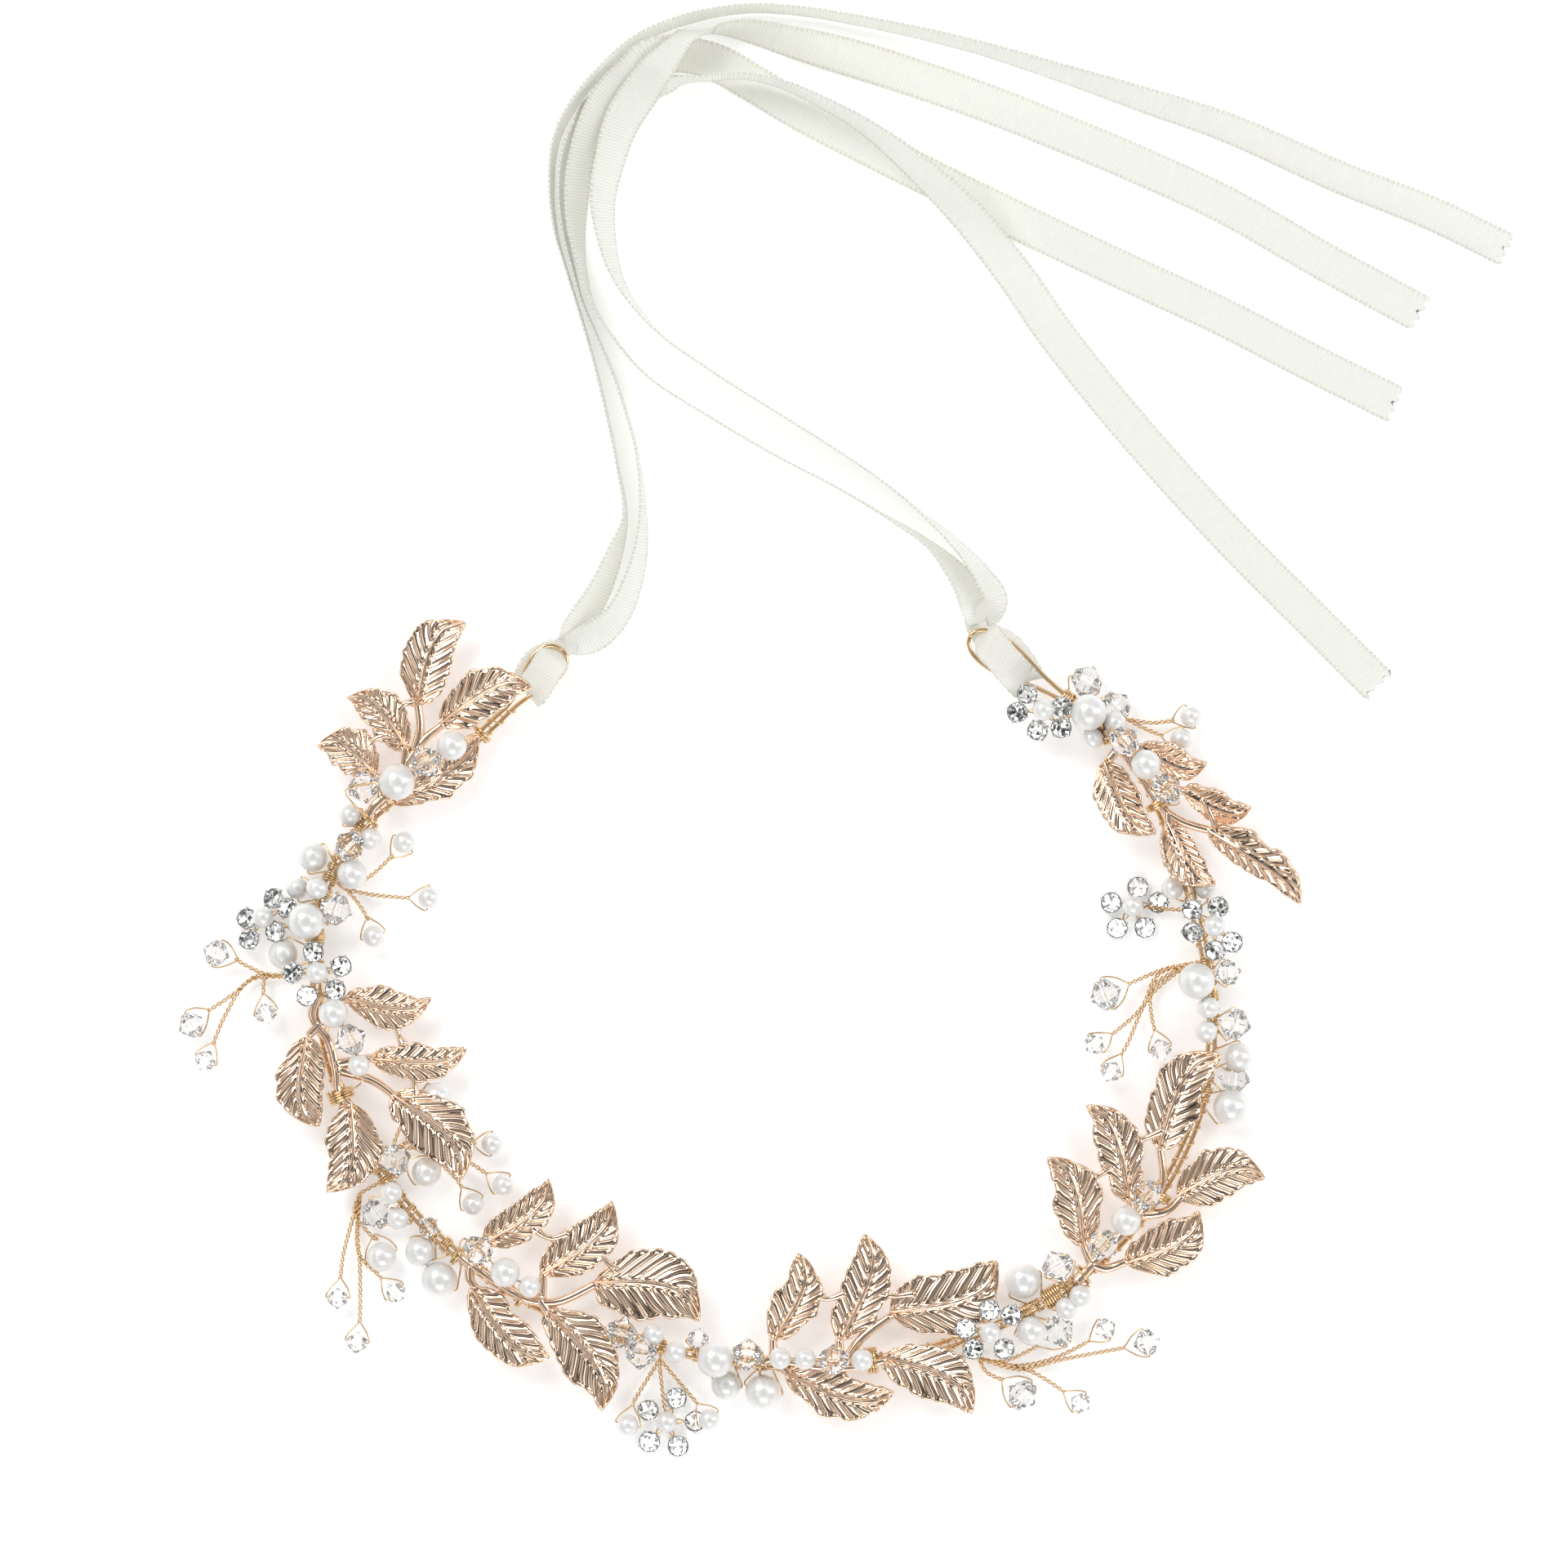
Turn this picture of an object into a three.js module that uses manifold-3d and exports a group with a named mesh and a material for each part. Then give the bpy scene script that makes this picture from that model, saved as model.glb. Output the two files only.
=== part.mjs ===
// Bridal hair vine: a doubled wire band that carries six leaf sprays, beads, rhinestone
// flowers and beaded twigs, with a satin ribbon hitched to the wire loop at each end.
// It lies face up on a table at z = 0, in millimetres, with the wearer's side below.
import * as THREE from 'three';
import { mergeVertices } from 'three/addons/utils/BufferGeometryUtils.js';
import Module from 'manifold-3d';

const wasm = await Module();
wasm.setup();

// ---- driving dimensions ------------------------------------------------------------
const bandStart = { x: -37.5, y: 64, heading: -132 };  // left end of the band, degrees
const bandTurns = [-16, 55, 25, 27, 22, 14, 19, 23, 29, 33, 14, 39];  // degrees per stretch
const stretch = 31;                // length of each stretch of the band
const bandEnd = 369;               // where the right loop begins, along the band
const bandBegin = 5;               // where the left loop begins
const coreRadius = 0.45;           // half the core wire's thickness
const coreHalfGap = 0.6;           // centre of each run from the band's middle line
const coreHeight = 3;              // centre of the core wire above the table
const loopHalfWidth = 3.1;         // end loops, half their width
const wireRadius = 0.25;           // beading wire
const twistRadius = 0.3;           // twisted pair of beading wires
const wrapRadius = 1.6;            // a turn of wire round the core
const tieRadius = 1.85;            // a turn of wire round the core and a leaf stem
const tieHeight = 3.75;            // centre of those turns
const leafThickness = 0.9;
const leafHeight = 4.2;            // underside of a leaf at its base
const stemRadius = 0.55;
const stemHeight = 4.4;
const saddleHeight = 9;            // bead wire over a spray
const boreRadius = 0.6;            // drilled hole in a bead
const cupRadius = 2;               // rhinestone with its metal cup
const cupDepth = 1.5;
const twigTipHeight = 3;
const ribbonWidth = 7;
const ribbonThickness = 0.5;
const clearance = 0.3;             // kept between neighbouring pieces
const pearlRadius = { small: 2, medium: 2.7, large: 3.3 };
const crystalRadius = { small: 2, medium: 2.5, large: 3 };
const crystalLength = 0.9;         // a crystal's half length, as a part of its radius

// ---- finishes ----------------------------------------------------------------------
const finish = {
  roseGold: { color: 0xd9a27c, roughness: 0.22, metalness: 1 },
  goldWire: { color: 0xd8ad6a, roughness: 0.25, metalness: 1 },
  pearl: { color: 0xf3efe9, roughness: 0.25, metalness: 0 },
  crystal: { color: 0xf4f1ee, roughness: 0.05, metalness: 0 },
  rhinestone: { color: 0xc9ced2, roughness: 0.12, metalness: 0.6 },
  satin: { color: 0xf5f5e6, roughness: 0.5, metalness: 0 },
};

// ---- solids ------------------------------------------------------------------------
function solid(geometry) {
  const plain = new THREE.BufferGeometry();
  plain.setAttribute('position', geometry.getAttribute('position').clone());
  if (geometry.index) plain.setIndex(geometry.index.clone());
  const merged = mergeVertices(plain, 1e-4);
  const index = Array.from(merged.index.array);
  const xyz = merged.getAttribute('position');
  const corner = (i) => new THREE.Vector3().fromBufferAttribute(xyz, i);
  const faces = [];
  let volume = 0;
  for (let i = 0; i < index.length; i += 3) {
    const [a, b, c] = index.slice(i, i + 3);
    if (a === b || b === c || c === a) continue;
    faces.push([a, b, c]);
    volume += corner(a).dot(corner(b).cross(corner(c)));
  }
  if (volume < 0) faces.forEach((face) => face.reverse());
  return new wasm.Manifold(new wasm.Mesh({
    numProp: 3,
    vertProperties: new Float32Array(xyz.array),
    triVerts: new Uint32Array(faces.flat()),
  }));
}

function join(solids) {
  return solids.reduce((sum, next) => sum.add(next));
}

function vector([x, y, z]) {
  return new THREE.Vector3(x, y, z);
}

function roundSection(radius, sides) {
  const corners = [];
  for (let i = 0; i < sides; i += 1) {
    const angle = (i * 2 * Math.PI) / sides;
    corners.push(new THREE.Vector2(radius * Math.cos(angle), radius * Math.sin(angle)));
  }
  return new THREE.Shape(corners);
}

// a wire bent at each of its points
class Bends extends THREE.Curve {
  constructor(points) {
    super();
    this.points = points.map(vector);
  }

  getPoint(t) {
    const along = t * (this.points.length - 1);
    const from = Math.min(Math.max(Math.floor(along), 0), this.points.length - 2);
    return this.points[from].clone().lerp(this.points[from + 1], along - from);
  }

  getPointAt(t) {
    return this.getPoint(t);
  }

  getTangentAt(t) {
    return this.getTangent(t);
  }
}

function rod(points, radius, sides = 3) {
  const options = { steps: points.length - 1, bevelEnabled: false, extrudePath: new Bends(points) };
  return solid(new THREE.ExtrudeGeometry(roundSection(radius, sides), options));
}

// a wire in one smooth curve
function curvedRod(points, radius, steps, sides) {
  const path = new THREE.CatmullRomCurve3(points.map(vector), false, 'centripetal');
  const options = { steps, bevelEnabled: false, extrudePath: path };
  return solid(new THREE.ExtrudeGeometry(roundSection(radius, sides), options));
}

// turns a shape made along +Y so that it points along a direction, and puts it in place
function placed(geometry, at, along) {
  const turn = new THREE.Quaternion();
  turn.setFromUnitVectors(new THREE.Vector3(0, 1, 0), vector(along).normalize());
  geometry.applyQuaternion(turn);
  geometry.translate(...at);
  return solid(geometry);
}

function lathe(profile, segments) {
  return new THREE.LatheGeometry(profile.map(([r, y]) => new THREE.Vector2(r, y)), segments);
}

function pearl(radius, at) {
  return placed(new THREE.SphereGeometry(radius, 7, 4), at, [0, 0, 1]);
}

// a bicone crystal: two cut cones on a common girdle
function biconeProfile(radius) {
  const rim = radius * 0.38;
  const half = radius * crystalLength;
  return [[0, -half], [rim, -half], [radius, 0], [rim, half], [0, half]];
}

function crystal(radius, at, along = [0, 1, 0.3]) {
  return placed(lathe(biconeProfile(radius), 6), at, along);
}

function bead(kind, size, at, along) {
  return kind === 'pearl' ? pearl(pearlRadius[size], at) : crystal(crystalRadius[size], at, along);
}

// a drilled bead, free to spin on the wire through it
function drilledBead(kind, size, at, along) {
  const profile = [];
  if (kind === 'pearl') {
    const radius = pearlRadius[size];
    const start = Math.asin(boreRadius / radius);
    for (let i = 0; i <= 5; i += 1) {
      const angle = start + (i * (Math.PI - 2 * start)) / 5;
      profile.push([radius * Math.sin(angle), radius * Math.cos(angle)]);
    }
  } else {
    const [, low, girdle, high] = biconeProfile(crystalRadius[size]);
    profile.push([boreRadius, low[1]], low, girdle, high, [boreRadius, high[1]]);
  }
  profile.push(profile[0]);
  return placed(lathe(profile, 8), at, along);
}

// ---- the band's middle line ----------------------------------------------------------
function bandAt(station, side = 0) {
  let { x, y } = bandStart;
  let heading = THREE.MathUtils.degToRad(bandStart.heading);
  let left = station;
  for (const [i, turn] of bandTurns.entries()) {
    const last = i === bandTurns.length - 1;
    const run = last ? left : Math.min(left, stretch);
    const bend = THREE.MathUtils.degToRad(turn) / stretch;
    x += (Math.sin(heading + bend * run) - Math.sin(heading)) / bend;
    y -= (Math.cos(heading + bend * run) - Math.cos(heading)) / bend;
    heading += bend * run;
    left -= run;
    if (left <= 0) break;
  }
  return { x: x - side * Math.sin(heading), y: y + side * Math.cos(heading), heading };
}

function onBand(station, side, height) {
  const { x, y } = bandAt(station, side);
  return [x, y, height];
}

// a turn of wire round the band, or several side by side
function wrap(station, turns = 1, radius = wrapRadius, height = coreHeight) {
  const { heading } = bandAt(station);
  const half = turns * wireRadius;
  const inner = radius - wireRadius;
  const outer = radius + wireRadius;
  const section = [[inner, -half], [outer, -half], [outer, half], [inner, half], [inner, -half]];
  const along = [Math.cos(heading), Math.sin(heading), 0];
  return placed(lathe(section, 8), onBand(station, 0, height), along);
}

// ---- the core wire: two runs side by side, closed by a teardrop loop at each end ---------
function loopSide(station, tip, side) {
  const { x, y } = bandAt(station);
  const dx = tip[0] - x;
  const dy = tip[1] - y;
  const along = [0.25, 0.5, 0.72, 0.88, 0.97, 1];
  const across = [0.42, 0.8, 1, 0.84, 0.46, 0];
  const length = Math.hypot(dx, dy);
  return along.map((part, i) => {
    const out = side * across[i] * loopHalfWidth;
    return [x + dx * part - (dy / length) * out, y + dy * part + (dx / length) * out, coreHeight];
  });
}

const leftLoopTip = [-32, 70.5];
const rightLoopTip = [42, 73];

function coreRun(side) {
  const points = loopSide(bandBegin, leftLoopTip, -side).reverse();
  for (let station = bandBegin; station <= bandEnd; station += 8) {
    points.push(onBand(station, side * coreHalfGap, coreHeight));
  }
  points.push(...loopSide(bandEnd, rightLoopTip, side));
  return rod(points, coreRadius, 6);
}

function coreWire() {
  const tipPin = (tip, station) => {
    const { x, y } = bandAt(station);
    const length = Math.hypot(tip[0] - x, tip[1] - y);
    const out = [-(tip[1] - y) / length, (tip[0] - x) / length];
    const reach = 0.7;
    const ends = [-reach, reach].map((k) => [tip[0] + out[0] * k, tip[1] + out[1] * k, coreHeight]);
    return rod(ends, coreRadius * 1.15, 6);
  };
  return join([coreRun(1), coreRun(-1), tipPin(leftLoopTip, bandBegin), tipPin(rightLoopTip, bandEnd)]);
}

// ---- leaf sprays ---------------------------------------------------------------------------
// a leaf lies from its base to its tip, which is higher by rise; roll turns it about its
// midrib, degrees
function leaf([baseX, baseY, tipX, tipY], { width, roll = 0, rise = 0.8 }) {
  const base = new THREE.Vector3(baseX, baseY, leafHeight);
  const tip = new THREE.Vector3(tipX, tipY, leafHeight + rise);
  const along = tip.clone().sub(base);
  const length = along.length();
  along.normalize();
  const outline = new THREE.Shape();
  const halfWidths = [0.12, 0.8, 1, 0.88, 0.45];
  halfWidths.forEach((part, i) => {
    const x = (i * length) / halfWidths.length;
    const y = (part * width) / 2;
    if (i === 0) outline.moveTo(x, -y);
    else outline.lineTo(x, -y);
  });
  outline.lineTo(length, 0);
  [...halfWidths].reverse().forEach((part, i) => {
    outline.lineTo(((halfWidths.length - 1 - i) * length) / halfWidths.length, (part * width) / 2);
  });
  const plate = new THREE.ExtrudeGeometry(outline, { depth: leafThickness, bevelEnabled: false });
  const across = new THREE.Vector3(-along.y, along.x, 0).normalize();
  across.applyAxisAngle(along, THREE.MathUtils.degToRad(roll));
  const up = along.clone().cross(across);
  plate.applyMatrix4(new THREE.Matrix4().makeBasis(along, across, up));
  plate.translate(base.x, base.y, base.z);
  return solid(plate);
}

const sprays = {
  left_end: {
    leaves: [[-58, 60.5, -50.5, 76], [-53.9, 57, -37.6, 64.5], [-60, 52.5, -70, 62.5],
      [-65.5, 47.5, -75.5, 54], [-63.5, 43, -46.5, 54]],
    widths: [9, 7.8, 7, 7.5, 7],
    rises: [1, 5, 1, 1, 0.3],
    stems: [[[-66.5, 41.4], [-63, 45], [-59.5, 50.5], [-56.5, 54.4], [-53.2, 57]],
      [[-58.5, 52], [-57.5, 56], [-58, 61]], [[-60.5, 49], [-60, 53]],
      [[-64.5, 43.5], [-65.3, 48]]],
    webs: [[[-58.5, 61], [-60.5, 60.5], [-62.5, 58]], [[-63, 55], [-66, 54], [-67, 52]]],
    ties: [38.2, 12.6], turns: [1, 1],
    beads: [['crystal', 'large', -67.5, 45.5], ['pearl', 'large', -61.5, 46.5],
      ['crystal', 'large', -56.4, 50.1], ['pearl', 'medium', -51.6, 53]],
  },
  left: {
    leaves: [[-78, 1, -78.6, -16], [-70, -11.5, -73, -28], [-71, 7.5, -55.5, 6.5],
      [-66.5, -3.5, -49, -2.5], [-62.5, -10, -49, -24.5]],
    widths: [7, 9, 6.5, 6, 9.5],
    rises: [0.6, 0.8, 1, 1, 3.4],
    stems: [[[-77, 4], [-74, -0.5], [-72.7, -6], [-72.4, -9.4], [-70, -12]], [[-75.5, 3], [-77.8, 0.5]],
      [[-75.5, 2], [-73, 6], [-70.5, 7.4]], [[-73, -4.6], [-66, -3.4]],
      [[-72.8, -5.4], [-66, -7.6], [-62, -10.4]]],
    webs: [[[-62, 4.5], [-61.5, 1], [-60.5, -1]], [[-59, -5], [-58.5, -8.5], [-58.5, -11.5]]],
    ties: [72.6, 89], turns: [1, 4],
    beads: [['pearl', 'medium', -73, 4.7], ['crystal', 'large', -69.9, 0],
      ['pearl', 'small', -68.4, -4.7]],
  },
  front_left: {
    leaves: [[-46, -37, -33.5, -26], [-35.5, -42.5, -22, -30], [-26, -44, -6.5, -49.5],
      [-48.4, -44.9, -34.9, -58.4], [-34.5, -49, -23.5, -66.5]],
    widths: [7, 7.5, 10, 6.8, 9.5],
    stems: [[[-49, -40.5], [-43, -44.6], [-38.6, -47], [-33, -47.6], [-25, -44]],
      [[-48.5, -41], [-48.5, -43.5], [-47.6, -45]], [[-36, -47.1], [-34.3, -49.5]],
      [[-47, -41.5], [-45.5, -36.6]], [[-35.6, -47], [-35.2, -42]]],
    webs: [[[-34, -32.5], [-30.5, -34.5], [-29.5, -36]], [[-26, -37.5], [-24, -40], [-22, -42]]],
    ties: [127.5, 141.4], turns: [1, 1],
    beads: [['crystal', 'large', -46.8, -38], ['pearl', 'medium', -42, -42],
      ['pearl', 'small', -37.6, -44.6]],
  },
  front_right: {
    leaves: [[6.5, -54.5, 12, -39], [18.5, -54.5, 24, -35.5], [27.5, -50, 47.5, -42.5],
      [8.5, -60.5, 28, -65], [26, -57.5, 43, -66.5]],
    widths: [7.5, 8, 10, 8, 9],
    stems: [[[5.5, -58], [14, -59.3], [21, -59.5], [27, -58]], [[6.5, -58], [6.3, -54]],
      [[18.5, -59.3], [18.3, -54]], [[19, -59], [22, -54.5], [28, -49.8]],
      [[6.5, -58.3], [9.5, -60.7]]],
    webs: [[[13, -46], [16, -47], [19.5, -46]], [[24, -45.5], [28, -46.5], [32, -46]]],
    ties: [186.5, 206.6], turns: [1, 4],
    beads: [['pearl', 'small', 7.6, -57.5], ['pearl', 'small', 12.1, -57.6],
      ['crystal', 'large', 17.2, -57.7], ['pearl', 'small', 22.4, -57.8]],
  },
  right: {
    leaves: [[76, -20, 86, -2], [71, -29.5, 64, -11.5], [62.5, -37.5, 57, -21],
      [79.3, -28.4, 95, -24], [70, -40.5, 84, -32]],
    widths: [8.6, 7.5, 8, 8.5, 8],
    rises: [2, 1, 1, 1, 1],
    stems: [[[61.3, -44], [64.2, -40.6], [70, -34.8], [75.2, -29], [76.8, -25.6], [76.3, -19.5]],
      [[64, -40.8], [62.3, -37]], [[71.5, -33.1], [70.8, -29]],
      [[72.6, -32], [77.6, -31.2], [80.6, -28.3]], [[64.2, -40.8], [66.5, -41.6], [70.5, -40.2]]],
    webs: [[[77, -16.5], [73.5, -18], [70, -19]], [[68, -23], [65.5, -24.5], [62.5, -26]]],
    ties: [248.5, 268.5], turns: [1, 3],
    beads: [['crystal', 'large', 66, -37], ['pearl', 'medium', 70, -32.7],
      ['crystal', 'large', 73.8, -28]],
  },
  right_end: {
    leaves: [[66, 50.3, 74.6, 36.6], [73, 53, 84.5, 49], [80.5, 45, 92.5, 41],
      [77.5, 39, 85.5, 27.5], [85, 38, 102, 25]],
    widths: [8, 7, 7.5, 8, 9],
    rolls: [-12, 40, 40, -30, 42],
    rises: [1.4, 2, 2, 2.4, 3],
    stems: [[[66.5, 56], [69.5, 52.2], [73.2, 47.2], [76.3, 42.2], [80, 39.4], [85.5, 37.6]],
      [[69, 52.8], [66.8, 50.2]], [[69.5, 52.2], [73.5, 52.8]], [[74.4, 45.4], [81, 44.8]],
      [[77.8, 41], [77.8, 38.5]]],
    webs: [[[84, 43.5], [85.5, 40.5], [87, 36.4]]],
    ties: [357.5, 342.5], turns: [1, 3],
    beads: [['crystal', 'large', 69.6, 53.8], ['pearl', 'medium', 73.6, 49.6],
      ['crystal', 'large', 77.4, 45.2]],
  },
};

function leafSpray(spray) {
  const leaves = spray.leaves.map((ends, i) => {
    return leaf(ends, { width: spray.widths[i], roll: spray.rolls?.[i], rise: spray.rises?.[i] });
  });
  const raise = (points, height) => points.map(([x, y]) => [x, y, height]);
  const start = bandAt(spray.ties[0]);
  const stems = spray.stems.map((points, i) => {
    const route = i === 0 ? [[start.x, start.y], ...points] : points;
    return rod(raise(route, stemHeight), stemRadius, 4);
  });
  const webs = spray.webs.map((points) => rod(raise(points, leafHeight + 0.7), stemRadius * 0.8, 4));
  return join([...leaves, ...stems, ...webs]);
}

// the direction of a spray bead's hole: along its row
function rowDirection(beads, i) {
  const before = beads[Math.max(i - 1, 0)];
  const after = beads[Math.min(i + 1, beads.length - 1)];
  return new THREE.Vector2(after[2] - before[2], after[3] - before[3]).normalize();
}

// the bead wire of a spray runs straight through each bead and is tied down at both ends
function saddlePath({ ties, beads }) {
  const path = [onBand(ties[0], 0, tieHeight + tieRadius)];
  beads.forEach(([kind, size, x, y], i) => {
    const way = rowDirection(beads, i);
    const half = kind === 'pearl' ? pearlRadius[size] : crystalRadius[size] * crystalLength;
    const before = half + (i === 0 ? 0.6 : 0.1);
    const after = half + (i === beads.length - 1 ? 0.6 : 0.1);
    path.push([x - way.x * before, y - way.y * before, saddleHeight]);
    path.push([x + way.x * after, y + way.y * after, saddleHeight]);
  });
  path.push(onBand(ties[1], 0, tieHeight + tieRadius));
  return path;
}

function sprayTie(spray) {
  const wraps = spray.ties.map((station, i) => wrap(station, spray.turns[i], tieRadius, tieHeight));
  return join([...wraps, rod(saddlePath(spray), wireRadius)]);
}

// ---- flowers: five rhinestones in metal cups round a pearl -------------------------------
function flower({ at, stones, tilt = [0, 0], stem, wrapAt }) {
  const lean = new THREE.Euler(
    THREE.MathUtils.degToRad(tilt[0]), THREE.MathUtils.degToRad(tilt[1]), 0);
  const up = new THREE.Vector3(0, 0, 1).applyEuler(lean);
  const solids = [pearl(pearlRadius.small, [at[0], at[1], at[2] + 1.3])];
  for (const [dx, dy] of stones) {
    const drop = -(dx * up.x + dy * up.y) / up.z;
    const place = [at[0] + dx, at[1] + dy, at[2] + drop];
    const cup = new THREE.CylinderGeometry(cupRadius, cupRadius * 0.86, cupDepth, 8);
    solids.push(placed(cup, place, up.toArray()));
    const spoke = [[at[0], at[1], at[2]], place];
    solids.push(rod(spoke, wireRadius * 1.4));
  }
  solids.push(rod(stem, twistRadius), wrap(wrapAt));
  return join(solids);
}

const stoneHeight = cupDepth / 2;
const flowers = {
  left_outer: { at: [-86, 22, 2.2], tilt: [-8, -14], wrapAt: 61.5, side: -1,
    stones: [[1.9, 3.3], [4.4, 1.6], [-2.9, -0.3], [-2.5, -4.1], [2.3, -2.6]] },
  left: { at: [-76, 12, 6.6], wrapAt: 68.5, side: 1,
    stones: [[-0.7, 3.8], [4.3, 1.2], [-4.4, 0], [-1.8, -4.2], [3.3, -3.1]] },
  front_right: { at: [45.5, -53, 5.6], wrapAt: 228.5, side: 1,
    stones: [[-0.1, 4.1], [3.8, 3.2], [-4.4, 0.7], [-3.1, -3], [2.6, -3]] },
  right_inner: { at: [71.5, 24, stoneHeight], wrapAt: 323, side: 1,
    stones: [[0.9, 3.4], [-3.9, 0.6], [4.6, 0.6], [-2.8, -4], [2.2, -3.9]] },
  right: { at: [86, 20.5, 6.2], tilt: [12, -14], wrapAt: 318, side: -1,
    stones: [[-3.9, 3], [0.7, 3.4], [-3.8, -1], [3.3, -3], [0.3, -4.4]] },
  right_end: { at: [55.1, 59.5, 6.6], tilt: [14, -8], wrapAt: 366, side: 1,
    stones: [[-2.9, 3], [-4.6, -0.4], [3.4, 0.6], [-0.9, -3.6], [3.3, -3.2]] },
};

// ---- twigs: twisted wires that fork and end in a pearl or a crystal ------------------------
const twigs = {
  left_inner: { wrapAt: 51, root: [-71, 27], branches: [
    { path: [[-66.5, 29.5], [-62.5, 33.2]], tip: ['pearl', 'small', -60.5, 35.5] },
    { path: [[-66, 26], [-60, 25.5]], tip: ['pearl', 'small', -56, 25.5] },
    { path: [[-68.5, 24], [-67, 21.5]], tip: ['pearl', 'small', -66, 18.5] }] },
  left_outer: { wrapAt: 66.8, root: [-80.5, 11.2], branches: [
    { path: [[-86, 11.8], [-91, 14.4]], tip: ['crystal', 'medium', -94.5, 15.5] },
    { path: [[-87, 11.4], [-91.5, 8], [-96, 5]], tip: ['crystal', 'medium', -99, 2.5] },
    { path: [[-88.5, 10.5], [-93, 4], [-95, -1]], tip: ['crystal', 'small', -96.5, -4] },
    { path: [[-85.5, 11.2], [-86, 8]], tip: ['crystal', 'small', -85.5, 4.5] }] },
  left_lower: { wrapAt: 108.5, root: [-68.5, -28], branches: [
    { path: [[-69.5, -31.5], [-65.5, -36.5]], tip: ['pearl', 'medium', -64.5, -39.5] },
    { path: [[-69.5, -31.5], [-71.5, -39], [-72, -43]], tip: ['crystal', 'small', -72.5, -47] },
    { path: [[-69, -34], [-68.5, -42], [-68.5, -51]], tip: ['crystal', 'small', -69, -55] },
    { path: [[-68.7, -39], [-65.5, -42.5]], tip: ['crystal', 'small', -62, -46] }] },
  under_leaf: { wrapAt: 103.4, root: [-63, -20.5], branches: [
    { path: [[-58, -18], [-53, -18], [-47.5, -19]], tip: ['pearl', 'small', -44.5, -19] },
    { path: [[-58, -20], [-51, -25.5]], tip: ['pearl', 'small', -48, -30] },
    { path: [[-56, -17.5], [-48.5, -22.5]], tip: ['pearl', 'small', -42.5, -26.5] },
    { path: [[-60.5, -15]], tip: ['pearl', 'medium', -54.6, -10.6] },
    { path: [[-61, -21.5]], tip: ['pearl', 'medium', -56.4, -24.2] }] },
  front_lower: { wrapAt: 224, root: [43.5, -58], branches: [
    { path: [[48, -58.5], [54, -55.8]], tip: ['crystal', 'large', 58, -53] },
    { path: [[50, -59.3], [57, -58], [63.5, -54.8]], tip: ['crystal', 'small', 66.5, -52.5] },
    { path: [[51, -60], [58, -58.3], [70, -56]], tip: ['crystal', 'medium', 74, -55] },
    { path: [[53, -60.3], [59, -64]], tip: ['crystal', 'small', 62, -66] },
    { path: [[45, -60.5], [48, -61.8]], tip: ['crystal', 'large', 51.5, -64.5] }] },
  right_inner: { wrapAt: 312.6, root: [81.5, 13.5], branches: [
    { path: [[77, 12.5], [71, 10]], tip: ['crystal', 'large', 66.5, 8] },
    { path: [[75, 9], [75.3, 2]], tip: ['crystal', 'small', 76.5, -2] },
    { path: [[76, 11.5], [73, 5.5], [68, 1]], tip: ['crystal', 'small', 64.5, -1] },
    { path: [[74.5, 7.5], [70.5, -1]], tip: ['crystal', 'small', 67.5, -6] }] },
  right_end: { wrapAt: 361, root: [70.6, 57.8], branches: [
    { path: [[75, 57.2], [79, 57.6]], tip: ['pearl', 'small', 82, 58.4] },
    { path: [[74, 56], [77, 54.8]], tip: ['pearl', 'small', 80.2, 54.2] }] },
};

const twigStart = 1.3;             // height of a twig where it leaves the core

function underWrap(station) {
  return onBand(station, 0, coreHeight - wrapRadius);
}

function twig({ wrapAt, root, branches }) {
  const solids = [wrap(wrapAt), rod([underWrap(wrapAt), [...root, twigStart]], twistRadius)];
  for (const { path, tip: [kind, size, x, y] } of branches) {
    const rise = twigTipHeight - twigStart;
    const middle = path.map(([px, py], i) => [px, py, twigStart + (rise * (i + 1)) / (path.length + 1)]);
    const end = [x, y, twigTipHeight];
    solids.push(rod([[...root, twigStart], ...middle, end], twistRadius));
    const [lastX, lastY] = path[path.length - 1];
    solids.push(bead(kind, size, end, [x - lastX, y - lastY, 0]));
  }
  return join(solids);
}

// the front spray: a flower and two pearls on stems from one place
function frontFlower() {
  const wrapAt = 168.5;
  const at = [-13, -69.5, stoneHeight];
  const stones = [[1.8, 4.3], [-3.3, 2.1], [5.2, 0.1], [-3.1, -3.6], [2.1, -4.4]];
  const root = onBand(wrapAt, -2.2, twigStart);
  const stem = [underWrap(wrapAt), root, [-14, -65, 1.3], at];
  const pearls = [[[-19, -66], [-20, -70]], [[-7.5, -66], [-5.2, -69]]].map(([bend, tip]) => join([
    rod([root, [...bend, 2], [...tip, twigTipHeight]], twistRadius),
    pearl(pearlRadius.small, [...tip, twigTipHeight]),
  ]));
  return join([flower({ at, stones, stem, wrapAt }), ...pearls]);
}

// ---- bead strands: beads threaded beside and over the core -----------------------------------
// a bead over the core stands on it, and one beside it lies on the table
function beadHeight(side, radius) {
  const out = Math.max(0, Math.abs(side) - coreHalfGap);
  const reach = radius + coreRadius + clearance;
  if (Math.hypot(out, radius - coreHeight) >= reach) return radius;
  return coreHeight + Math.sqrt(reach * reach - out * out);
}

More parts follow.
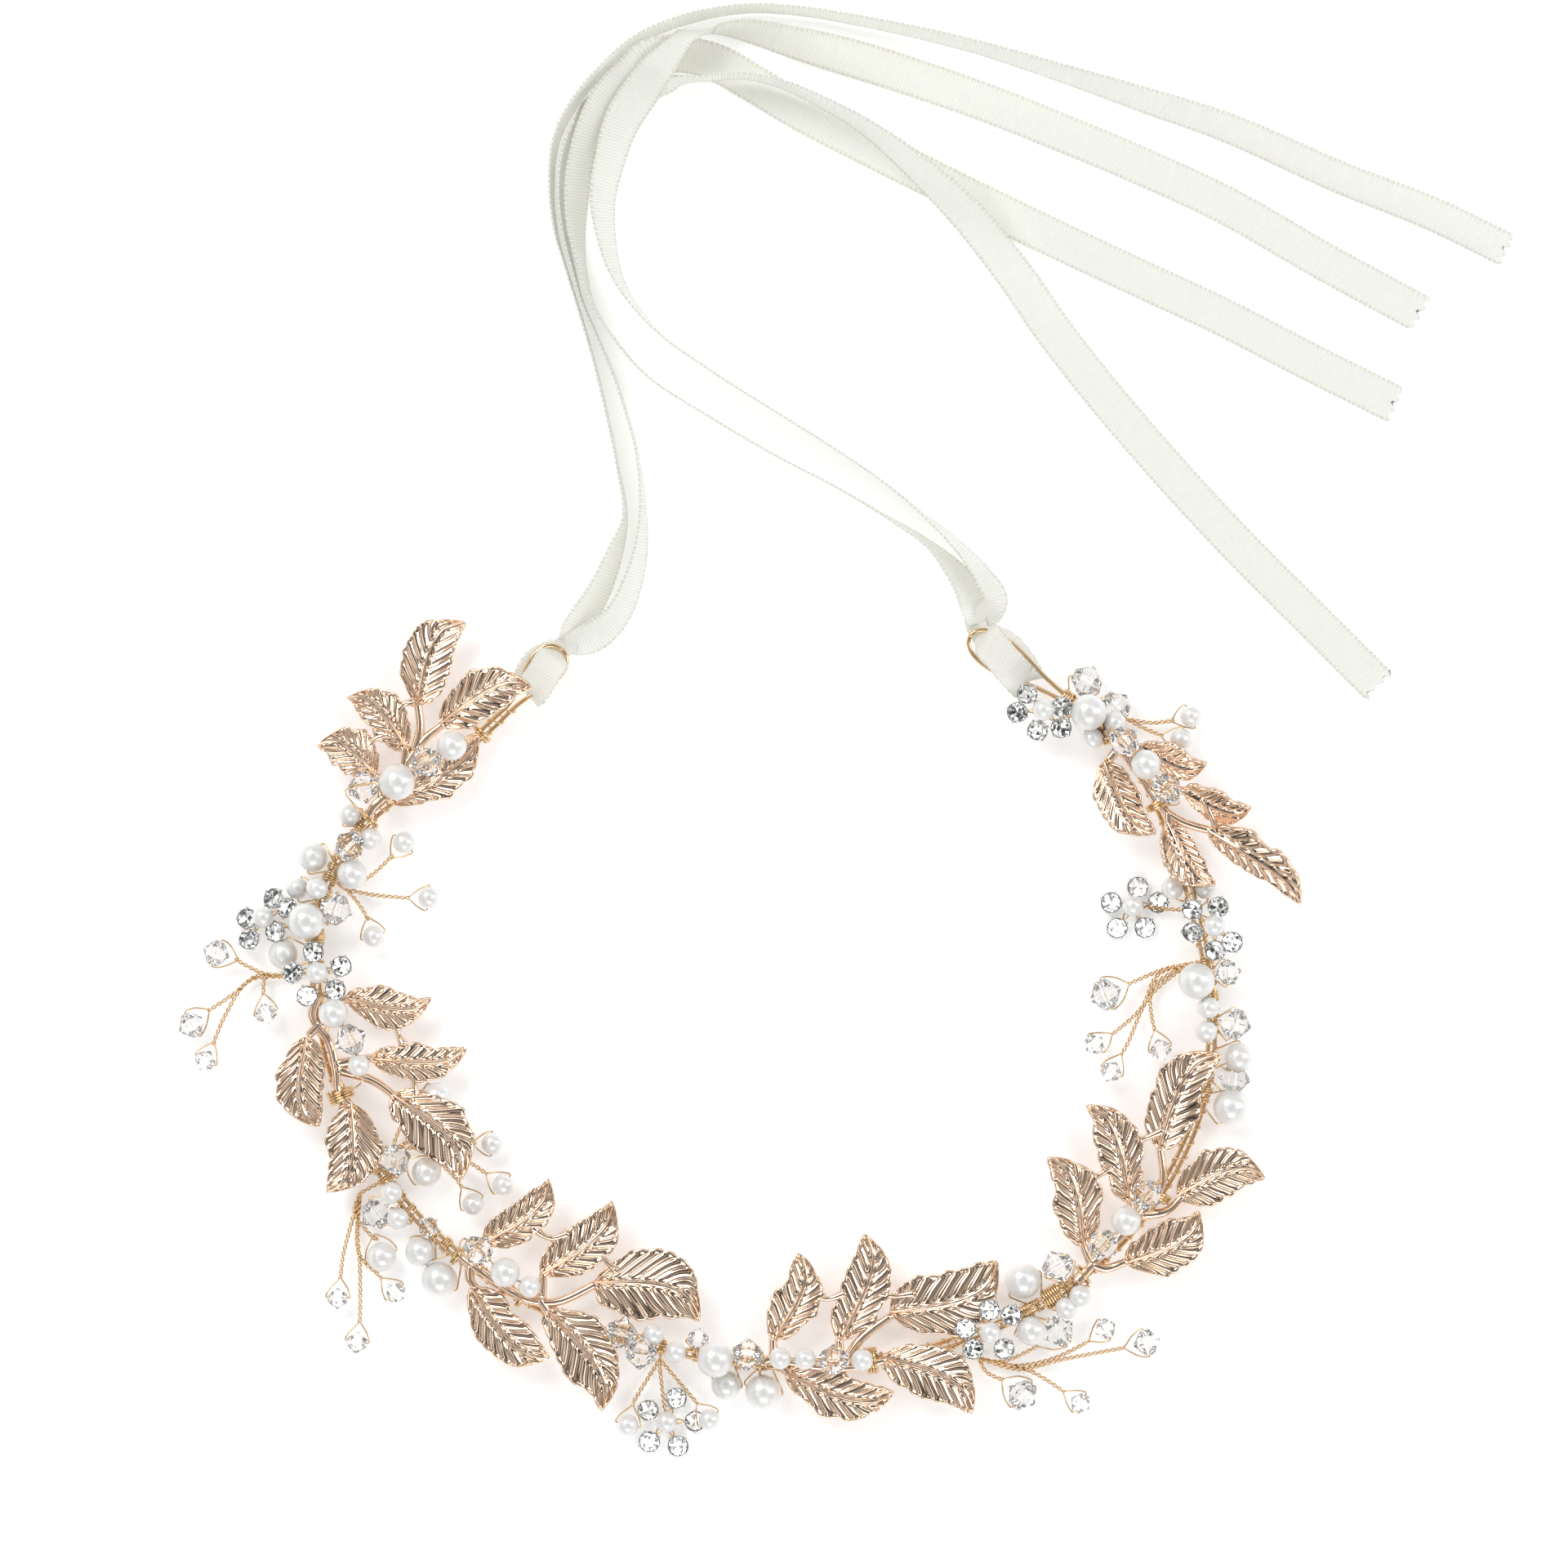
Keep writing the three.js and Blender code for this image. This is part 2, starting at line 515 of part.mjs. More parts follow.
// each bead: kind, size, station along the band, and side, + to the left of it
const strands = {
  left_upper: { wraps: [46.6, 62.4], beads: [['pearl', 'small', 39.9, -3.1],
    ['pearl', 'small', 40.6, 2.6], ['crystal', 'large', 44, 0.5], ['pearl', 'medium', 49, -4.4],
    ['pearl', 'medium', 48.6, 3.4], ['pearl', 'small', 53.5, -1.4], ['pearl', 'small', 54.5, -5],
    ['crystal', 'large', 56.3, 3], ['pearl', 'large', 59.4, -2], ['pearl', 'medium', 65.2, -6]] },
  left_lower: { wraps: [110.4, 124.6], beads: [['crystal', 'large', 106.5, 3.5],
    ['pearl', 'small', 111, -0.5], ['crystal', 'large', 112.3, -5.2],
    ['pearl', 'small', 115.3, -2.6], ['crystal', 'small', 120, 0.5],
    ['pearl', 'medium', 122, -4], ['pearl', 'large', 127.6, -5.6]] },
  front: { wraps: [163, 182.5], beads: [['crystal', 'large', 160.6, 1], ['pearl', 'small', 166.4, 2.2],
    ['crystal', 'large', 165, -1.6], ['pearl', 'small', 171, 0], ['crystal', 'small', 174.6, 3],
    ['pearl', 'large', 178.3, 0], ['pearl', 'medium', 180.8, -4.6], ['crystal', 'large', 184, 1.6],
    ['pearl', 'large', 187.4, -5.2]] },
  front_right: { wraps: [236.6, 244.6], lashing: 241.6, beads: [['pearl', 'medium', 235.4, -3.4],
    ['pearl', 'large', 238.5, 5.2], ['pearl', 'small', 242.6, -3], ['pearl', 'small', 245.8, -2.6],
    ['crystal', 'large', 245.6, 4.1]] },
  right: { wraps: [289.4, 306.6], beads: [['pearl', 'large', 287.5, -5.4],
    ['crystal', 'large', 292.2, -4.8], ['pearl', 'medium', 295.8, -5.2],
    ['pearl', 'small', 300, 1.2], ['crystal', 'large', 301.4, -4], ['pearl', 'small', 304.4, 0.8],
    ['crystal', 'medium', 310.2, -3.6], ['pearl', 'large', 309.6, 2.4]] },
  right_end: { wraps: [359.4, 363.4], beads: [['pearl', 'small', 359.8, 2.8],
    ['pearl', 'large', 363.6, -0.3], ['crystal', 'large', 360.6, -4.5],
    ['crystal', 'large', 367, -4.8]] },
};

// a strand is threaded from bead to bead, with a turn round the core near either end; one also
// has a lashing of seven turns side by side
function strand({ wraps, beads, lashing }) {
  const solids = wraps.map((station) => wrap(station));
  if (lashing) solids.push(wrap(lashing, 7));
  const thread = [];
  for (const [kind, size, station, side] of beads) {
    const radius = (kind === 'pearl' ? pearlRadius : crystalRadius)[size];
    const at = onBand(station, side, beadHeight(side, radius));
    const next = bandAt(station + 1, side);
    solids.push(bead(kind, size, at, [next.x - at[0], next.y - at[1], 0.2]));
    thread.push(at);
  }
  solids.push(rod(thread, wireRadius));
  for (const station of wraps) {
    const nearest = beads.reduce((a, b) => (
      Math.abs(a[2] - station) <= Math.abs(b[2] - station) ? a : b));
    const beside = Math.abs(nearest[3]) > 2;
    const leave = beside
      ? onBand(station, Math.sign(nearest[3]) * wrapRadius, coreHeight)
      : onBand(station, 0, coreHeight + wrapRadius);
    solids.push(rod([leave, thread[beads.indexOf(nearest)]], wireRadius));
  }
  return join(solids);
}

// ---- satin ribbons ---------------------------------------------------------------------------
// each point of a route is [x, y, roll, lift]: roll turns the ribbon from flat (0) to on edge
// (90), and lift raises its lower edge above the table
const routes = {
  outer: [[-28.7, 75.4, 45], [-25, 81.5, 55], [-22, 89, 70], [-20.5, 94.5, 85], [-22, 104.5, 88],
    [-24, 114, 88], [-26.5, 124, 88], [-29.5, 134, 88], [-31.2, 139.5, 88], [-33, 146, 86],
    [-33.8, 154, 84], [-33, 162.5, 82], [-29.7, 169.2, 80], [-24.5, 175.5, 80], [-18, 181, 80],
    [-8.5, 184.8, 80], [1.5, 186.4, 82, 0.4], [10.5, 186, 82, 0.8], [23, 184, 80, 0.8],
    [41, 180, 76, 0.8], [58.5, 174.8, 68, 0.4], [73.5, 170, 55], [88.5, 165, 46], [109, 156, 40],
    [125.5, 149.5, 36], [139, 143, 34]],
  crossing: [[-26, 73, 40], [-22, 76.5, 50], [-19, 83, 62], [-17.4, 90.5, 75], [-17.4, 98.5, 85],
    [-18.5, 107, 88], [-20, 112.5, 88], [-22.5, 120, 88], [-25.5, 127, 88], [-28.3, 133.5, 88],
    [-29.9, 139.5, 86], [-31.4, 146, 84], [-32.2, 153.5, 84], [-31.3, 160.5, 82], [-29.4, 163.8, 66],
    [-26.3, 166.8, 22], [-23.6, 168.8, 6], [-20, 170, 2], [-16.5, 170.2, 8], [-13.8, 170.8, 36],
    [-11.5, 172.3, 78, 0.8], [-6.5, 173.6, 88, 2.4], [1.5, 174, 86, 2.4],
    [8.5, 172.4, 82, 2], [14, 170, 78, 1.4],
    [23, 165, 70, 1], [32, 158, 52, 1], [41, 149.5, 32, 0.9], [50, 138.5, 16, 0.5], [57, 128.5, 6],
    [66, 117, 0], [78, 103, 0], [91.5, 88.5, 0], [103, 77, 0], [116, 64, 0]],
  lower: [[42.3, 80.2, 45], [38.5, 85.5, 62], [34.5, 89.5, 78], [26, 95, 86], [17.5, 100, 88],
    [6, 106, 88], [-5, 112.5, 88], [-16.5, 120, 88], [-23, 127.5, 88], [-26.6, 133.5, 86],
    [-28.2, 139.5, 80], [-29.3, 146, 66], [-29.3, 152.5, 54], [-28.4, 159.5, 52, 0.6],
    [-26.2, 165.5, 40, 1.8], [-23.4, 170.4, 26, 2], [-19.6, 174.4, 20, 2.2], [-15.5, 177.8, 22, 3.2],
    [-10, 178.2, 26, 0.6], [-4, 176.8, 16], [3, 173, 5], [10.5, 168.5, 0], [23, 162, 0],
    [44, 151.5, 0], [58.5, 144.5, 0], [73.5, 137.5, 0], [88.5, 130.5, 0], [103, 123, 0],
    [119, 115, 0]],
  inner: [[46.6, 79.8, 50], [44.5, 83.5, 60], [40.5, 88.5, 72], [34, 94.5, 84], [26, 101, 88],
    [17.5, 106.8, 88], [6, 114, 88], [-5, 121, 88], [-14, 127.5, 86], [-20, 134.5, 80],
    [-22.5, 139.5, 72], [-24, 145.5, 62], [-24.5, 152.5, 50], [-23, 160, 38, 0.4],
    [-21, 166, 22, 2], [-17.5, 171.5, -4, 4.2], [-13.5, 176.5, -34, 5.9], [-9.5, 181.1, -62, 4.6],
    [-5.5, 182.6, -90, 0.4], [1, 182.6, -118], [10.5, 180.3, -140], [23, 177, -168],
    [44, 170, -180], [58.5, 164.3, -180], [73.5, 158, -180], [88.5, 151, -180], [106, 141, -180],
    [123.5, 131.5, -180]],
};
const ribbonSteps = { outer: 44, crossing: 60, lower: 50, inner: 50 };

function ribbon(route, steps) {
  const centre = [];
  for (const [x, y, roll, lift = 0] of route) {
    const angle = THREE.MathUtils.degToRad(roll);
    const reach = (ribbonWidth / 2) * Math.abs(Math.sin(angle));
    centre.push([x, y, 0.15 + lift + reach + (ribbonThickness / 2) * Math.abs(Math.cos(angle))]);
  }
  const curve = new THREE.CatmullRomCurve3(centre.map(vector), false, 'centripetal');
  const corners = [];
  for (let i = 0; i <= steps; i += 1) {
    const along = (i / steps) * (route.length - 1);
    const low = Math.min(Math.floor(along), route.length - 2);
    const roll = THREE.MathUtils.lerp(route[low][2], route[low + 1][2], along - low);
    const angle = THREE.MathUtils.degToRad(roll);
    const heading = curve.getTangent(i / steps);
    const side = new THREE.Vector3(-heading.y, heading.x, 0).normalize();
    const width = side.multiplyScalar(Math.cos(angle)).add(new THREE.Vector3(0, 0, Math.sin(angle)));
    const face = heading.clone().cross(width).normalize();
    for (const [across, through] of [[-1, -1], [1, -1], [1, 1], [-1, 1]]) {
      corners.push(curve.getPoint(i / steps)
        .addScaledVector(width, (across * ribbonWidth) / 2)
        .addScaledVector(face, (through * ribbonThickness) / 2));
    }
  }
  const index = [0, 2, 1, 0, 3, 2];
  for (let i = 0; i < steps; i += 1) {
    for (let k = 0; k < 4; k += 1) {
      const [a, b] = [i * 4 + k, i * 4 + ((k + 1) % 4)];
      index.push(a, b, b + 4, a, b + 4, a + 4);
    }
  }
  const end = steps * 4;
  index.push(end, end + 1, end + 2, end, end + 2, end + 3);
  const geometry = new THREE.BufferGeometry().setFromPoints(corners);
  geometry.setIndex(index);
  return solid(geometry);
}

// the ribbon's hitch: doubled over the loop's wire, open where its two tails leave it
function hitch([x, y], direction, width) {
  const inside = coreRadius + 2 * clearance;
  const outside = inside + ribbonThickness;
  const back = -1.6;
  const tail = 5;
  const outline = new THREE.Shape();
  outline.moveTo(tail, -outside);
  outline.lineTo(back, -outside);
  outline.lineTo(back - outside * 0.8, 0);
  outline.lineTo(back, outside);
  outline.lineTo(tail, outside);
  outline.lineTo(tail, inside);
  outline.lineTo(back, inside);
  outline.lineTo(back - inside * 0.5, 0);
  outline.lineTo(back, -inside);
  outline.lineTo(tail, -inside);
  const band = new THREE.ExtrudeGeometry(outline, { depth: width, bevelEnabled: false });
  band.translate(0, 0, -width / 2);
  band.rotateX(Math.PI / 2);
  band.rotateZ(THREE.MathUtils.degToRad(direction));
  band.translate(x, y, coreHeight);
  return solid(band);
}

// ---- assembly ----------------------------------------------------------------------------------
const vine = new THREE.Group();
vine.name = 'hair_vine';

function lay(name, body, look) {
  const { vertProperties, triVerts } = body.getMesh();
  const geometry = new THREE.BufferGeometry();
  geometry.setAttribute('position', new THREE.BufferAttribute(vertProperties, 3));
  geometry.setIndex(new THREE.BufferAttribute(triVerts, 1));
  geometry.computeVertexNormals();
  const mesh = new THREE.Mesh(geometry, new THREE.MeshStandardMaterial(finish[look]));
  mesh.name = name;
  vine.add(mesh);
}

lay('core_wire', coreWire(), 'goldWire');
for (const [name, spray] of Object.entries(sprays)) {
  lay(`leaf_spray_${name}`, leafSpray(spray), 'roseGold');
}
for (const [name, spray] of Object.entries(sprays)) {
  lay(`spray_tie_${name}`, sprayTie(spray), 'goldWire');
}
for (const [name, spray] of Object.entries(sprays)) {
  spray.beads.forEach(([kind, size, x, y], i) => {
    const way = rowDirection(spray.beads, i);
    const body = drilledBead(kind, size, [x, y, saddleHeight], [way.x, way.y, 0]);
    lay(`spray_bead_${name}_${i + 1}`, body, kind);
  });
}
for (const [name, spec] of Object.entries(flowers)) {
  const out = spec.side * wrapRadius;
  const stem = [onBand(spec.wrapAt, out, coreHeight), onBand(spec.wrapAt, out * 1.5, 2.4), spec.at];
  lay(`flower_${name}`, flower({ ...spec, stem }), 'rhinestone');
}
lay('flower_front_with_pearls', frontFlower(), 'rhinestone');
for (const [name, spec] of Object.entries(twigs)) {
  lay(`twig_${name}`, twig(spec), 'crystal');
}
for (const [name, beads] of Object.entries(strands)) {
  lay(`bead_strand_${name}`, strand(beads), 'pearl');
}
lay('end_tie_right', wrap(bandEnd - 0.8, 3, tieRadius), 'goldWire');
lay('ribbon_hitch_left', hitch(leftLoopTip, 46, 3), 'satin');
lay('ribbon_hitch_right', hitch([43.9, 74], 100, 2.6), 'satin');
for (const [name, route] of Object.entries(routes)) {
  lay(`ribbon_tail_${name}`, ribbon(route, ribbonSteps[name]), 'satin');
}

export default vine;
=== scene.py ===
import bpy
import bmesh
import math
import random
from mathutils import Vector, Matrix, Euler, noise


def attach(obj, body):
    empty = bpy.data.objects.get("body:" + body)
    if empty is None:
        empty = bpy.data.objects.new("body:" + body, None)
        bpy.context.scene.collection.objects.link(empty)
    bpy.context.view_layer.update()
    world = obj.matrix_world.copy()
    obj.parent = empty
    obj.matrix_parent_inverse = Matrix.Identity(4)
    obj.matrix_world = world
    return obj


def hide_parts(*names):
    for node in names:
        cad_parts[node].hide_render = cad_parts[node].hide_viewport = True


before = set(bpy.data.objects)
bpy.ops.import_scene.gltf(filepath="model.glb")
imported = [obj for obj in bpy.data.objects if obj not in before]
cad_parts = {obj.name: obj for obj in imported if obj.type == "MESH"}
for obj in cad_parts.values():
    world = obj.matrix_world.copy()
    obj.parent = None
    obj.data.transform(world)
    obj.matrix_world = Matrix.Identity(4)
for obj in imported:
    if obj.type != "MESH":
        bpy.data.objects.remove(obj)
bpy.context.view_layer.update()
scene = bpy.context.scene
mm = 0.001
print("frame loaded:", len(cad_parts), "nodes")

# camera straight above, through a long lens
cameraSettings = {"middle": (8.3, 46.1), "height": 1600, "width": 284.4, "sensor": 36}
cameraData = bpy.data.cameras.new("overheadCamera")
cameraData.sensor_width = cameraSettings["sensor"]
cameraData.lens = cameraSettings["sensor"] * cameraSettings["height"] / cameraSettings["width"]
cameraData.clip_start = 0.05
cameraData.clip_end = 20
camera = bpy.data.objects.new("overheadCamera", cameraData)
camera.location = Vector((*cameraSettings["middle"], cameraSettings["height"])) * mm
scene.collection.objects.link(camera)
scene.camera = camera


# shader helpers
def newMaterial(name):
    material = bpy.data.materials.new(name)
    material.use_nodes = True
    tree = material.node_tree
    shader = tree.nodes["Principled BSDF"]
    return material, tree, shader


def addNode(tree, kind, values=None, **links):
    node = tree.nodes.new(kind)
    for key, value in (values or {}).items():
        if key in node.inputs:
            node.inputs[key].default_value = value
        else:
            setattr(node, key, value)
    for key, source in links.items():
        tree.links.new(source, node.inputs[key])
    return node


def setInputs(tree, shader, values):
    for key, value in values.items():
        if isinstance(value, bpy.types.NodeSocket):
            tree.links.new(value, shader.inputs[key])
        else:
            shader.inputs[key].default_value = value


def mapRange(tree, value, low, high):
    return addNode(tree, "ShaderNodeMapRange", {"To Min": low, "To Max": high}, Value=value).outputs[0]


def newGroup(name, inputs, outputs):
    group = bpy.data.node_groups.new(name, "ShaderNodeTree")
    for label, kind, value in inputs:
        socket = group.interface.new_socket(name=label, in_out="INPUT", socket_type=kind)
        socket.default_value = value
    for label, kind in outputs:
        group.interface.new_socket(name=label, in_out="OUTPUT", socket_type=kind)
    return group, group.nodes.new("NodeGroupInput"), group.nodes.new("NodeGroupOutput")


def placeGroup(tree, group, values=None):
    node = tree.nodes.new("ShaderNodeGroup")
    node.node_tree = group
    for key, value in (values or {}).items():
        node.inputs[key].default_value = value
    return node


def mathNode(tree, operation, a, b=None):
    node = tree.nodes.new("ShaderNodeMath")
    node.operation = operation
    for socket, value in zip(node.inputs, (a, b)):
        if value is None:
            continue
        if isinstance(value, (int, float)):
            socket.default_value = value
        else:
            tree.links.new(value, socket)
    return node.outputs[0]


def mixColour(tree, mask, first, second):
    node = tree.nodes.new("ShaderNodeMix")
    node.data_type = "RGBA"
    tree.links.new(mask, node.inputs["Factor"])
    for socket, value in ((node.inputs[6], first), (node.inputs[7], second)):
        if isinstance(value, tuple):
            socket.default_value = (*value, 1)
        else:
            tree.links.new(value, socket)
    return node.outputs[2]


# cloudy tone that breaks up a plain finish: a mask, and a height for bumps
def makeMottle():
    group, entry, leave = newGroup(
        "mottle",
        [("Scale", "NodeSocketFloat", 400.0), ("Fine Scale", "NodeSocketFloat", 2500.0)],
        [("Mask", "NodeSocketFloat"), ("Height", "NodeSocketFloat")],
    )
    place = group.nodes.new("ShaderNodeTexCoord")
    broad = addNode(group, "ShaderNodeTexNoise", {"Detail": 3.0},
                    Vector=place.outputs["Object"], Scale=entry.outputs["Scale"])
    fine = addNode(group, "ShaderNodeTexNoise", {"Detail": 2.0},
                   Vector=place.outputs["Object"], Scale=entry.outputs["Fine Scale"])
    both = mathNode(group, "ADD", mathNode(group, "MULTIPLY", broad.outputs["Fac"], 0.7),
                 mathNode(group, "MULTIPLY", fine.outputs["Fac"], 0.3))
    group.links.new(both, leave.inputs["Mask"])
    group.links.new(fine.outputs["Fac"], leave.inputs["Height"])
    return group


# satin ribbon weave, from UVs in millimetres: ribs across, fine threads along, dotted edges
def makeWeave():
    group, entry, leave = newGroup(
        "ribbonWeave",
        [("Rib Pitch", "NodeSocketFloat", 0.55), ("Thread Pitch", "NodeSocketFloat", 0.3),
         ("Half Width", "NodeSocketFloat", 3.5)],
        [("Rib", "NodeSocketFloat"), ("Thread", "NodeSocketFloat"), ("Edge", "NodeSocketFloat"),
         ("Height", "NodeSocketFloat")],
    )
    uv = group.nodes.new("ShaderNodeUVMap")
    uv.uv_map = "cloth"
    split = addNode(group, "ShaderNodeSeparateXYZ", Vector=uv.outputs["UV"])
    across, along = split.outputs["X"], split.outputs["Y"]

    def wave(value, pitch):
        turn = mathNode(group, "MULTIPLY", mathNode(group, "DIVIDE", value, pitch), 2 * math.pi)
        raised = mathNode(group, "ADD", mathNode(group, "SINE", turn), 1.0)
        return mathNode(group, "MULTIPLY", raised, 0.5)

    rib = wave(along, entry.outputs["Rib Pitch"])
    thread = wave(across, entry.outputs["Thread Pitch"])
    inward = mathNode(group, "SUBTRACT", entry.outputs["Half Width"], mathNode(group, "ABSOLUTE", across))
    edge = addNode(group, "ShaderNodeMapRange", {"From Min": 0.85, "From Max": 0.4}, Value=inward)
    dots = mathNode(group, "MULTIPLY", edge.outputs[0], wave(along, 0.95))
    height = mathNode(group, "ADD", mathNode(group, "MULTIPLY", rib, 0.55),
                   mathNode(group, "ADD", mathNode(group, "MULTIPLY", thread, 0.25), dots))
    group.links.new(rib, leave.inputs["Rib"])
    group.links.new(thread, leave.inputs["Thread"])
    group.links.new(dots, leave.inputs["Edge"])
    group.links.new(height, leave.inputs["Height"])
    return group


mottle = makeMottle()
ribbonWeave = makeWeave()


def bumpFrom(tree, shader, height, distance, strength=1.0):
    bump = addNode(tree, "ShaderNodeBump", {"Distance": distance, "Strength": strength},
                   Height=height)
    tree.links.new(bump.outputs["Normal"], shader.inputs["Normal"])


def makeGold(name, light, dark, roughness, bumpSize):
    material, tree, shader = newMaterial(name)
    tone = placeGroup(tree, mottle, {"Scale": 220.0, "Fine Scale": 3200.0})
    setInputs(tree, shader, {
        "Base Color": mixColour(tree, tone.outputs["Mask"], dark, light),
        "Roughness": mapRange(tree, tone.outputs["Mask"], roughness * 0.7, roughness * 1.4),
        "Metallic": 1.0})
    bumpFrom(tree, shader, tone.outputs["Height"], bumpSize, 0.35)
    return material


def makePearl():
    material, tree, shader = newMaterial("pearlLustre")
    tone = placeGroup(tree, mottle, {"Scale": 260.0, "Fine Scale": 1500.0})
    setInputs(tree, shader, {
        "Base Color": mixColour(tree, tone.outputs["Mask"], (0.84, 0.83, 0.81), (0.92, 0.92, 0.91)),
        "Roughness": mapRange(tree, tone.outputs["Mask"], 0.3, 0.42),
        "Metallic": 0.3, "Coat Weight": 0.7, "Coat Roughness": 0.2, "Specular IOR Level": 0.7})
    bumpFrom(tree, shader, tone.outputs["Height"], 0.00001, 0.3)
    return material


# glass whose own colour also feeds a faint emission: painted glow that lightens the crystals though they
# are no lamp
def makeGlass(name, tint, edgeTint, ior, paintedGlow):
    material, tree, shader = newMaterial(name)
    tone = placeGroup(tree, mottle, {"Scale": 700.0, "Fine Scale": 2600.0})
    colour = mixColour(tree, tone.outputs["Mask"], edgeTint, tint)
    setInputs(tree, shader, {
        "Base Color": colour, "Roughness": 0.01, "Transmission Weight": 1.0, "IOR": ior,
        "Emission Color": colour, "Emission Strength": paintedGlow})
    return material


def makeCupMetal():
    material, tree, shader = newMaterial("silverCup")
    tone = placeGroup(tree, mottle, {"Scale": 500.0, "Fine Scale": 3000.0})
    setInputs(tree, shader, {
        "Base Color": mixColour(tree, tone.outputs["Mask"], (0.52, 0.51, 0.49), (0.74, 0.73, 0.71)),
        "Metallic": 1.0, "Roughness": 0.2})
    bumpFrom(tree, shader, tone.outputs["Height"], 0.00002, 0.4)
    return material


# the woven ground is a little see-through between the threads
def makeSatin():
    material, tree, shader = newMaterial("ivorySatin")
    weave = placeGroup(tree, ribbonWeave)
    tone = placeGroup(tree, mottle, {"Scale": 90.0, "Fine Scale": 2000.0})
    ground = mixColour(tree, weave.outputs["Rib"], (0.92, 0.92, 0.83), (0.98, 0.98, 0.93))
    clouded = mixColour(tree, tone.outputs["Mask"], ground, (0.95, 0.95, 0.885))
    edged = mixColour(tree, weave.outputs["Edge"], clouded, (0.80, 0.79, 0.68))
    clear = mathNode(tree, "MULTIPLY", weave.outputs["Rib"], weave.outputs["Thread"])
    setInputs(tree, shader, {
        "Base Color": edged, "Roughness": mapRange(tree, weave.outputs["Rib"], 0.38, 0.55),
        "Alpha": mapRange(tree, clear, 0.78, 0.98), "Specular IOR Level": 0.45,
        # the satin's colour also feeds a faint emission: painted glow standing in for light shining
        # through the ribbon
        "Emission Color": edged, "Emission Strength": 0.035,
        "Subsurface Weight": 0.25, "Subsurface Radius": (1.0, 0.95, 0.8), "Subsurface Scale": 0.0025,
        "Sheen Weight": 0.2, "Sheen Roughness": 0.4})
    bumpFrom(tree, shader, weave.outputs["Height"], 0.00012, 0.6)
    return material


roseGold = makeGold("roseGoldCast", (0.93, 0.715, 0.55), (0.85, 0.62, 0.46), 0.1, 0.00001)
goldWire = makeGold("goldBeadingWire", (0.88, 0.66, 0.40), (0.72, 0.49, 0.27), 0.14, 0.00001)
pearlLustre = makePearl()
# clearCrystal gets a painted glow of 0.02; rhinestoneGlass gets none
clearCrystal = makeGlass("clearCrystal", (1.0, 0.997, 0.99), (0.985, 0.975, 0.96), 1.43, 0.02)
stoneGlass = makeGlass("rhinestoneGlass", (1.0, 1.0, 1.0), (0.97, 0.98, 0.98), 1.38, 0.0)
silverCup = makeCupMetal()
foilBack = makeGold("silverFoil", (0.97, 0.97, 0.96), (0.90, 0.90, 0.89), 0.04, 0.000002)
ivorySatin = makeSatin()
print("materials made")


# curves and meshes, all given in millimetres
def blend(p, q, low, high, t):
    return p * ((high - t) / (high - low)) + q * ((t - low) / (high - low))


def smoothPath(points, perSpan):
    points = [Vector(p) for p in points]
    if len(points) < 3:
        return [points[0].lerp(points[-1], i / perSpan) for i in range(perSpan + 1)]
    ends = [points[0] * 2 - points[1], *points, points[-1] * 2 - points[-2]]
    path = []
    for a, b, c, d in zip(ends, ends[1:], ends[2:], ends[3:]):
        knots = [0.0]
        for p, q in ((a, b), (b, c), (c, d)):
            knots.append(knots[-1] + max((q - p).length, 1e-6) ** 0.5)
        for i in range(perSpan):
            t = knots[1] + (knots[2] - knots[1]) * i / perSpan
            ab = blend(a, b, knots[0], knots[1], t)
            bc = blend(b, c, knots[1], knots[2], t)
            cd = blend(c, d, knots[2], knots[3], t)
            abc = blend(ab, bc, knots[0], knots[2], t)
            bcd = blend(bc, cd, knots[1], knots[3], t)
            path.append(blend(abc, bcd, knots[1], knots[2], t))
    path.append(points[-1])
    return path


def evenPath(path, step):
    lengths = [0.0]
    for p, q in zip(path, path[1:]):
        lengths.append(lengths[-1] + (q - p).length)
    count = max(2, round(lengths[-1] / step))
    even, k = [], 0
    for i in range(count + 1):
        want = lengths[-1] * i / count
        while k < len(path) - 2 and lengths[k + 1] < want:
            k += 1
        span = max(lengths[k + 1] - lengths[k], 1e-9)
        even.append(path[k].lerp(path[k + 1], min(max((want - lengths[k]) / span, 0), 1)))
    return even


def pathFrames(path):
    frames, side = [], None
    for i, point in enumerate(path):
        before = path[max(i - 1, 0)]
        after = path[min(i + 1, len(path) - 1)]
        along = (after - before).normalized()
        if side is None:
            side = along.orthogonal().normalized()
        side = (side - along * side.dot(along)).normalized()
        frames.append((point, along, side, along.cross(side)))
    return frames


def addTube(bm, path, radius, sides=6, radii=None):
    rings = []
    for i, (point, along, side, up) in enumerate(pathFrames(path)):
        size = radii[i] if radii else radius
        ring = []
        for k in range(sides):
            angle = 2 * math.pi * k / sides
            outward = side * math.cos(angle) + up * math.sin(angle)
            ring.append(bm.verts.new((point + outward * size) * mm))
        rings.append(ring)
    for low, high in zip(rings, rings[1:]):
        for k in range(sides):
            bm.faces.new((low[k], low[(k + 1) % sides], high[(k + 1) % sides], high[k]))
    bm.faces.new(rings[0][::-1])
    bm.faces.new(rings[-1])


def turnTo(along):
    return Vector((0, 0, 1)).rotation_difference(Vector(along).normalized()).to_matrix()


def addCorner(bm, turn, at, reach, angle, height):
    corner = turn @ Vector((reach * math.cos(angle), reach * math.sin(angle), height))
    return bm.verts.new((Vector(at) + corner) * mm)


# a closed ring of [radius, height] corners turned about an axis
def addLathe(bm, profile, at, along, segments):
    turn = turnTo(along)
    rings = []
    for k in range(segments):
        angle = 2 * math.pi * k / segments
        rings.append([addCorner(bm, turn, at, radius, angle, height) for radius, height in profile])
    for low, high in zip(rings, rings[1:] + rings[:1]):
        for k in range(len(profile)):
            n = (k + 1) % len(profile)
            bm.faces.new((low[k], high[k], high[n], low[n]))


